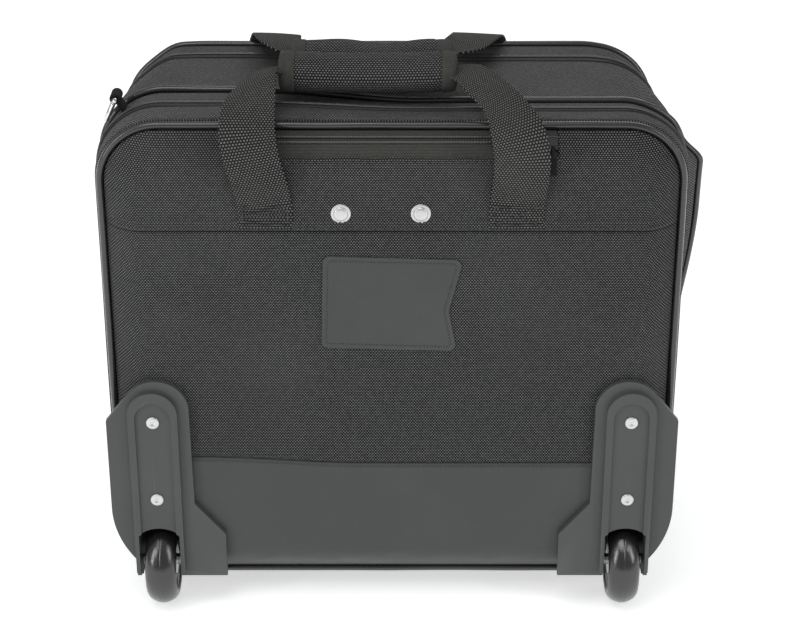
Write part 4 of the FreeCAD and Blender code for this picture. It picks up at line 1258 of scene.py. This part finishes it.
# ---------------------------------------------------------------- pull handle, rings and sliders
def make_pull_handle():
    """Tubes, brackets, grip, button and springs, each with its edges rounded by so many millimetres."""
    for node, width in (("trolley_outer_tubes", 0.25), ("trolley_first_stage", 0.25),
                        ("trolley_second_stage", 0.25), ("trolley_upper_bracket", 0.5),
                        ("trolley_base_bracket", 0.5), ("pull_grip", 1.2),
                        ("release_button", 0.7), ("button_springs", 0.15)):
        settle(refined(node + "_made", node, width * MM, 3), node)


def d_ring(name, node, pivot, lean):
    """Chromed wire bent to a D: a straight bar, two short legs and a half circle, closed."""
    wire, half, drop, bend = 1.8 * MM, 11 * MM, 19 * MM, 2.6 * MM
    quarter = np.linspace(0, math.pi / 2, 8)
    corner = np.stack([half - bend + bend * np.sin(quarter), bend * np.cos(quarter) - bend], 1)
    arc = np.linspace(0, -math.pi, 40)
    bow = np.stack([half * np.cos(arc), half - drop + half * np.sin(arc)], 1)
    loop, _ = resample(np.vstack([corner, bow, corner[::-1] * [-1, 1]]), 120, closed=True)
    tangent = unit(np.roll(loop, -1, 0) - np.roll(loop, 1, 0))
    c, s = math.cos(lean), math.sin(lean)
    plane = np.array([(0, 1, 0), (s, 0, c)])
    path = loop @ plane + np.array(pivot)
    side = np.stack([tangent[:, 1], -tangent[:, 0]], 1) @ plane
    up = np.tile([c, 0.0, -s], (len(path), 1))
    settle(tube(name, path, side, up, wire, 14, closed=True), node)


def make_rings():
    """The shoulder strap's two rings, the left one leaning out, and the tabs that hold them."""
    pivots = {j["child"]: np.array(j["pos_m"]) for j in frame["joints"] if "pos_m" in j}
    d_ring("shoulder_ring_left", "d_ring_left", pivots["ring_left"], math.radians(25))
    d_ring("shoulder_ring_right", "d_ring_right", pivots["ring_right"], 0.0)
    settle(refined("ring_tabs", "d_ring_tabs", 0.5 * MM), "d_ring_tabs")


def make_sliders():
    """The sliders and pulls of the three zips."""
    for where in ("handle", "laptop", "main"):
        for part in ("slider", "pull"):
            node = f"{where}_zip_{part}"
            settle(refined(node + "_cast", node, 0.35 * MM), node)


# ---------------------------------------------------------------- front and inside
def pad(name, node, wide, inset, rows, edge):
    """Closed padded panel in the XZ plane: each row is a loop over the front and back faces.

    Their distance from the middle plane grows as the square root of 1 minus (1 minus depth over
    edge) squared. wide gives half the width of a row and inset the depth from the panel's edge.
    """
    low, high = limits(node)
    mid, half = float(low[1] + high[1]) / 2, float(high[1] - low[1]) / 2
    t = np.linspace(-1, 1, 61)
    w = wide(rows)[:, None]
    x = w * np.sign(t) * (1 - (1 - np.abs(t)) ** 1.4)
    z = np.repeat(rows[:, None], len(t), 1)
    d = np.clip(inset(x, z) / edge, 0, 1)
    puff = half * np.sqrt(np.clip(1 - (1 - d) ** 2, 0.04, 1))
    waves = 0.35 * MM * ripple(x, z, 38 * MM, 2.2) * d
    front = np.stack([x, mid + puff + waves, z], -1)
    back = np.stack([x, mid - puff + waves, z], -1)[:, ::-1]
    loop = np.concatenate([front, back], 1)
    obj = surface(name, slump(loop), wrap_v=True, uvs=loop[..., ::2], closed=True)
    settle(obj, node)


def outline_pad(name, node, inset, top_gap, count, edge):
    """Padded panel that follows the case's outline at an offset, up to a gap at its top."""

    def wide(z):
        return half_width(z, inset)

    def depth(x, z):
        return inset_depth(x, z, inset)

    rows = np.linspace(Z_LOW - inset + 0.2 * MM, Z_HIGH + inset - top_gap, count)
    pad(name, node, wide, depth, rows, edge)


def make_inside():
    """Laptop pad and its strap, divider, boards."""
    low, high = limits("laptop_pad")

    def wide(z):
        return np.full_like(z, high[0])

    def depth(x, z):
        return np.minimum(np.minimum(high[0] - np.abs(x), z - low[2]), high[2] - z)

    pad("laptop_cushion", "laptop_pad", wide, depth, np.linspace(low[2], high[2], 60), 7 * MM)
    outline_pad("divider_cushion", "divider_panel", GUSSET_OUT - 5.5 * MM, 2.5 * MM, 80, 9 * MM)
    for node in ("back_board", "base_board"):
        settle(refined(node + "_sheet", node, 0.4 * MM), node)
    low, high = limits("laptop_strap")
    y = (middle(1, "laptop_strap") - Y_REAR) / MM
    points = [(0, y, z / MM) for z in np.linspace(low[2], high[2], 6)]
    strap, _ = webbing("laptop_hold_strap", points, [(1, 0, 0)] * 6, [1] * 6, 90)
    settle(strap, "laptop_strap")


POCKET_ROUND = 22 * MM                   # the pocket's edges round over this width
POCKET_FINE = 30 * MM                    # and are meshed more finely over this one


def make_pocket():
    """Bellows pocket: its face stands out by the product of 1 minus (1 minus distance from an edge
    over the rounded width) to the power 2.2, for the sides and for the foot."""
    s = bpy.context.scene.case_sizes
    low, high = limits("front_pocket")
    x0, x1, z0, z1 = float(low[0]), float(high[0]), float(low[2]), float(high[2])
    xs = np.concatenate([np.linspace(x0, x0 + POCKET_FINE, 16)[:-1],
                         np.linspace(x0 + POCKET_FINE, x1 - POCKET_FINE, 80),
                         np.linspace(x1 - POCKET_FINE, x1, 16)[1:]])
    zs = np.concatenate([np.linspace(z0, z0 + POCKET_FINE, 16)[:-1], np.linspace(z0 + POCKET_FINE, z1, 60)])
    x, z = np.meshgrid(xs, zs, indexing="ij")
    side = np.clip((x1 - np.abs(x)) / POCKET_ROUND, 0, 1)
    foot = np.clip((z - z0) / POCKET_ROUND, 0, 1)
    depth = (1 - (1 - side) ** 2.2) * (1 - (1 - foot) ** 2.2)
    face = float(low[1]) + 0.2 * MM + (float(high[1]) - float(low[1]) - 1.2 * MM) * depth
    face = face + s.slack * ripple(x, z, 36 * MM, 3.1) * depth
    grid = np.stack([x, face, z], -1)
    pocket = surface("front_pocket_skin", slump(grid), uvs=grid[..., ::2])
    flip_towards_rear(pocket.data)
    pocket.data.flip_normals()
    settle(thicken(pocket, 2.4 * MM), "front_pocket")


def make_pocket_zip():
    """Two flat tapes side by side along the pocket's top, with a row of teeth between them."""
    s = bpy.context.scene.case_sizes
    low, high = limits("front_pocket_zip")
    x0, x1, y0, y1 = float(low[0]), float(high[0]), float(low[1]), float(high[1])
    y_mid, z_mid = middle(1, "front_pocket_zip"), middle(2, "front_pocket_zip")
    made = []
    for k, (ya, yb) in enumerate(((y0, y_mid - 0.2 * MM), (y_mid + 0.2 * MM, y1))):
        x, y = np.meshgrid(np.linspace(x0, x1, 120), np.linspace(ya, yb, 6), indexing="ij")
        top = np.stack([x, y, z_mid + 0.5 * MM + 0 * x], -1)
        under = np.stack([x, y, z_mid - 0.3 * MM + 0 * x], -1)[:, ::-1]
        loop = np.concatenate([top, under], 1)
        made.append(surface(f"front_pocket_tape_{k}", slump(loop), wrap_v=True, uvs=loop[..., :2]))
    settle(merge("front_pocket_tapes", made), "front_pocket_zip")
    run = np.linspace(x0, x1, int((high[0] - low[0]) / s.tooth * 3))
    centre = np.stack([run, np.full(len(run), y_mid), np.full(len(run), z_mid + 0.9 * MM)], 1)
    sides, ups = frames(centre, np.array([0.0, 0.0, 1.0]))
    teeth = tube("front_pocket_teeth", slump(centre), sides, ups, 1.4 * MM * beads(run, s.tooth), 6)
    trim(teeth, "front_pocket_zip", "coil")


def make_front():
    """Front panel, its bellows pocket with a zip, and the moulded feet."""
    outline_pad("front_panel_skin", "front_panel", GUSSET_OUT - 3.2 * MM, 0.2 * MM, 90, 12 * MM)
    make_pocket()
    make_pocket_zip()
    settle(refined("moulded_feet", "front_feet", 1.4 * MM, 3), "front_feet")


# ---------------------------------------------------------------- stage
def floor_material():
    """Pale matt floor that glows a little, so it stays white between the lamps."""
    f = Finish("pale floor")
    fine = f.noise(60.0, 2.0)
    tone = f.mix(fine.between(0.3, 0.7), (0.86, 0.87, 0.885), (0.88, 0.89, 0.90))
    return f.finish(tone, Roughness=0.85, Emission_Color=(1.0, 1.0, 1.0, 1.0), Emission_Strength=0.55)


def lamp(name, spot, target, size, power):
    """Rectangular area lamp at a spot, aimed at a target."""
    data = bpy.data.lights.new(name, "AREA")
    data.shape = "RECTANGLE"
    data.size, data.size_y = size
    data.energy = power
    obj = new_object(name, data)
    obj.location = spot
    aim = np.array(target) - np.array(spot)
    obj.rotation_euler = Vector(aim).to_track_quat("-Z", "Y").to_euler()


VIEW_TILT = math.radians(26)             # the camera looks down by this angle
VIEW_HEIGHT = 0.23                       # and at this height of the case
SURROUNDINGS_LIGHT = 0.38                # strength of the white surroundings as a light


def make_stage():
    """Pale floor, soft studio lights, white surroundings and the camera."""
    x = np.linspace(-6, 6, 3)
    xx, yy = np.meshgrid(x, x, indexing="ij")
    floor = surface("pale_floor", np.stack([xx, yy, 0 * xx], -1))
    floor.data.materials.append(floor_material())
    world = bpy.data.worlds.new("white surroundings")
    world.use_nodes = True
    background = world.node_tree.nodes["Background"].inputs
    background["Color"].default_value = (1, 1, 1, 1)
    ray = world.node_tree.nodes.new("ShaderNodeLightPath")
    strength = world.node_tree.nodes.new("ShaderNodeMapRange")
    strength.inputs["To Min"].default_value = SURROUNDINGS_LIGHT
    strength.inputs["To Max"].default_value = 1.0
    world.node_tree.links.new(ray.outputs["Is Camera Ray"], strength.inputs["Value"])
    world.node_tree.links.new(strength.outputs["Result"], background["Strength"])
    bpy.context.scene.world = world
    bpy.context.scene.view_settings.view_transform = "Standard"
    target = (0, Y_REAR, VIEW_HEIGHT)
    lamp("soft box above", (-0.5, -0.9, 2.1), target, (1.4, 1.0), 13.5)
    lamp("strip left", (-1.5, -1.1, 0.9), target, (0.25, 1.3), 9)
    lamp("strip right", (1.5, -0.9, 1.0), target, (0.25, 1.3), 7)
    lamp("fill from behind", (0.4, 1.5, 1.6), (0, 0, 0.3), (1.5, 0.8), 6)
    away = bpy.context.scene.case_sizes.camera_distance
    data = bpy.data.cameras.new("camera")
    data.lens = 92.25
    data.sensor_width = 36
    data.clip_start = 0.05
    camera = new_object("camera", data)
    camera.location = (0.0057, Y_REAR - away * math.cos(VIEW_TILT), VIEW_HEIGHT + away * math.sin(VIEW_TILT))
    camera.rotation_euler = (math.pi / 2 - VIEW_TILT, 0, 0)
    bpy.context.scene.camera = camera


# ---------------------------------------------------------------- the add-on
def operator(step, label, about, work):
    """An Operator class whose execute runs one builder function."""

    def execute(self, context):
        work()
        return {"FINISHED"}

    return type("CASE_OT_" + step, (bpy.types.Operator,),
                {"bl_idname": "laptop_case." + step, "bl_label": label, "__doc__": about, "execute": execute})


STEPS = [
    operator("stage", "Stage", "Makes the floor, the lights and the camera", make_stage),
    operator("rear_panels", "Rear panels", "Sews the upper, main and kick panels", make_rear_panels),
    operator("pipings", "Pipings", "Runs vinyl cord round the three piped seams", make_pipings),
    operator("gussets", "Gussets", "Makes the padded walls between the seams", make_gussets),
    operator("side_zips", "Side zips", "Lays the laptop and main compartment zips", make_side_zips),
    operator("handle_zip", "Handle pocket zip", "Closes the pull handle's pocket", make_handle_zip),
    operator("strap_legs", "Carry handle straps", "Sews the legs of both carry handles", make_strap_legs),
    operator("wraps", "Grip wraps", "Pads the two grip wraps and binds their ends", make_wraps),
    operator("id_tag", "Identity tag", "Stitches the blank leatherette tag", make_id_tag),
    operator("rivets", "Rivets", "Sets the rivets of the bracket and the housings", make_rivets),
    operator("housings", "Wheel housings", "Rounds the moulded wheel housings", make_housings),
    operator("wheels", "Wheels", "Turns the tyres and finishes the hubs and axles", make_wheels),
    operator("pull_handle", "Pull handle", "Finishes the tubes, brackets, grip and button", make_pull_handle),
    operator("rings", "Shoulder strap rings", "Bends the two rings and folds their tabs", make_rings),
    operator("sliders", "Sliders", "Finishes the zip sliders and their pulls", make_sliders),
    operator("inside", "Inside", "Makes the laptop pad, divider, boards and strap", make_inside),
    operator("front", "Front", "Makes the front panel, its pocket and the feet", make_front),
]


class CASE_PT_sidebar(bpy.types.Panel):
    """Lists the case's sizes, colours and building steps."""
    bl_idname = "CASE_PT_sidebar"
    bl_label = "Laptop case"
    bl_space_type = "VIEW_3D"
    bl_region_type = "UI"
    bl_category = "Laptop case"

    def draw(self, context):
        for group in (context.scene.case_sizes, context.scene.case_colours):
            for key in group.__annotations__:
                self.layout.prop(group, key)
        for step in STEPS:
            self.layout.operator(step.bl_idname)


CLASSES = [CaseColours, CaseSizes, *STEPS, CASE_PT_sidebar]


def register():
    for cls in CLASSES:
        bpy.utils.register_class(cls)
    bpy.types.Scene.case_colours = bpy.props.PointerProperty(type=CaseColours)
    bpy.types.Scene.case_sizes = bpy.props.PointerProperty(type=CaseSizes)


def unregister():
    del bpy.types.Scene.case_sizes
    del bpy.types.Scene.case_colours
    for cls in reversed(CLASSES):
        bpy.utils.unregister_class(cls)


def main():
    register()
    for step in STEPS:
        getattr(bpy.ops.laptop_case, step.bl_idname.split(".")[1])()


if __name__ == "__main__":
    main()
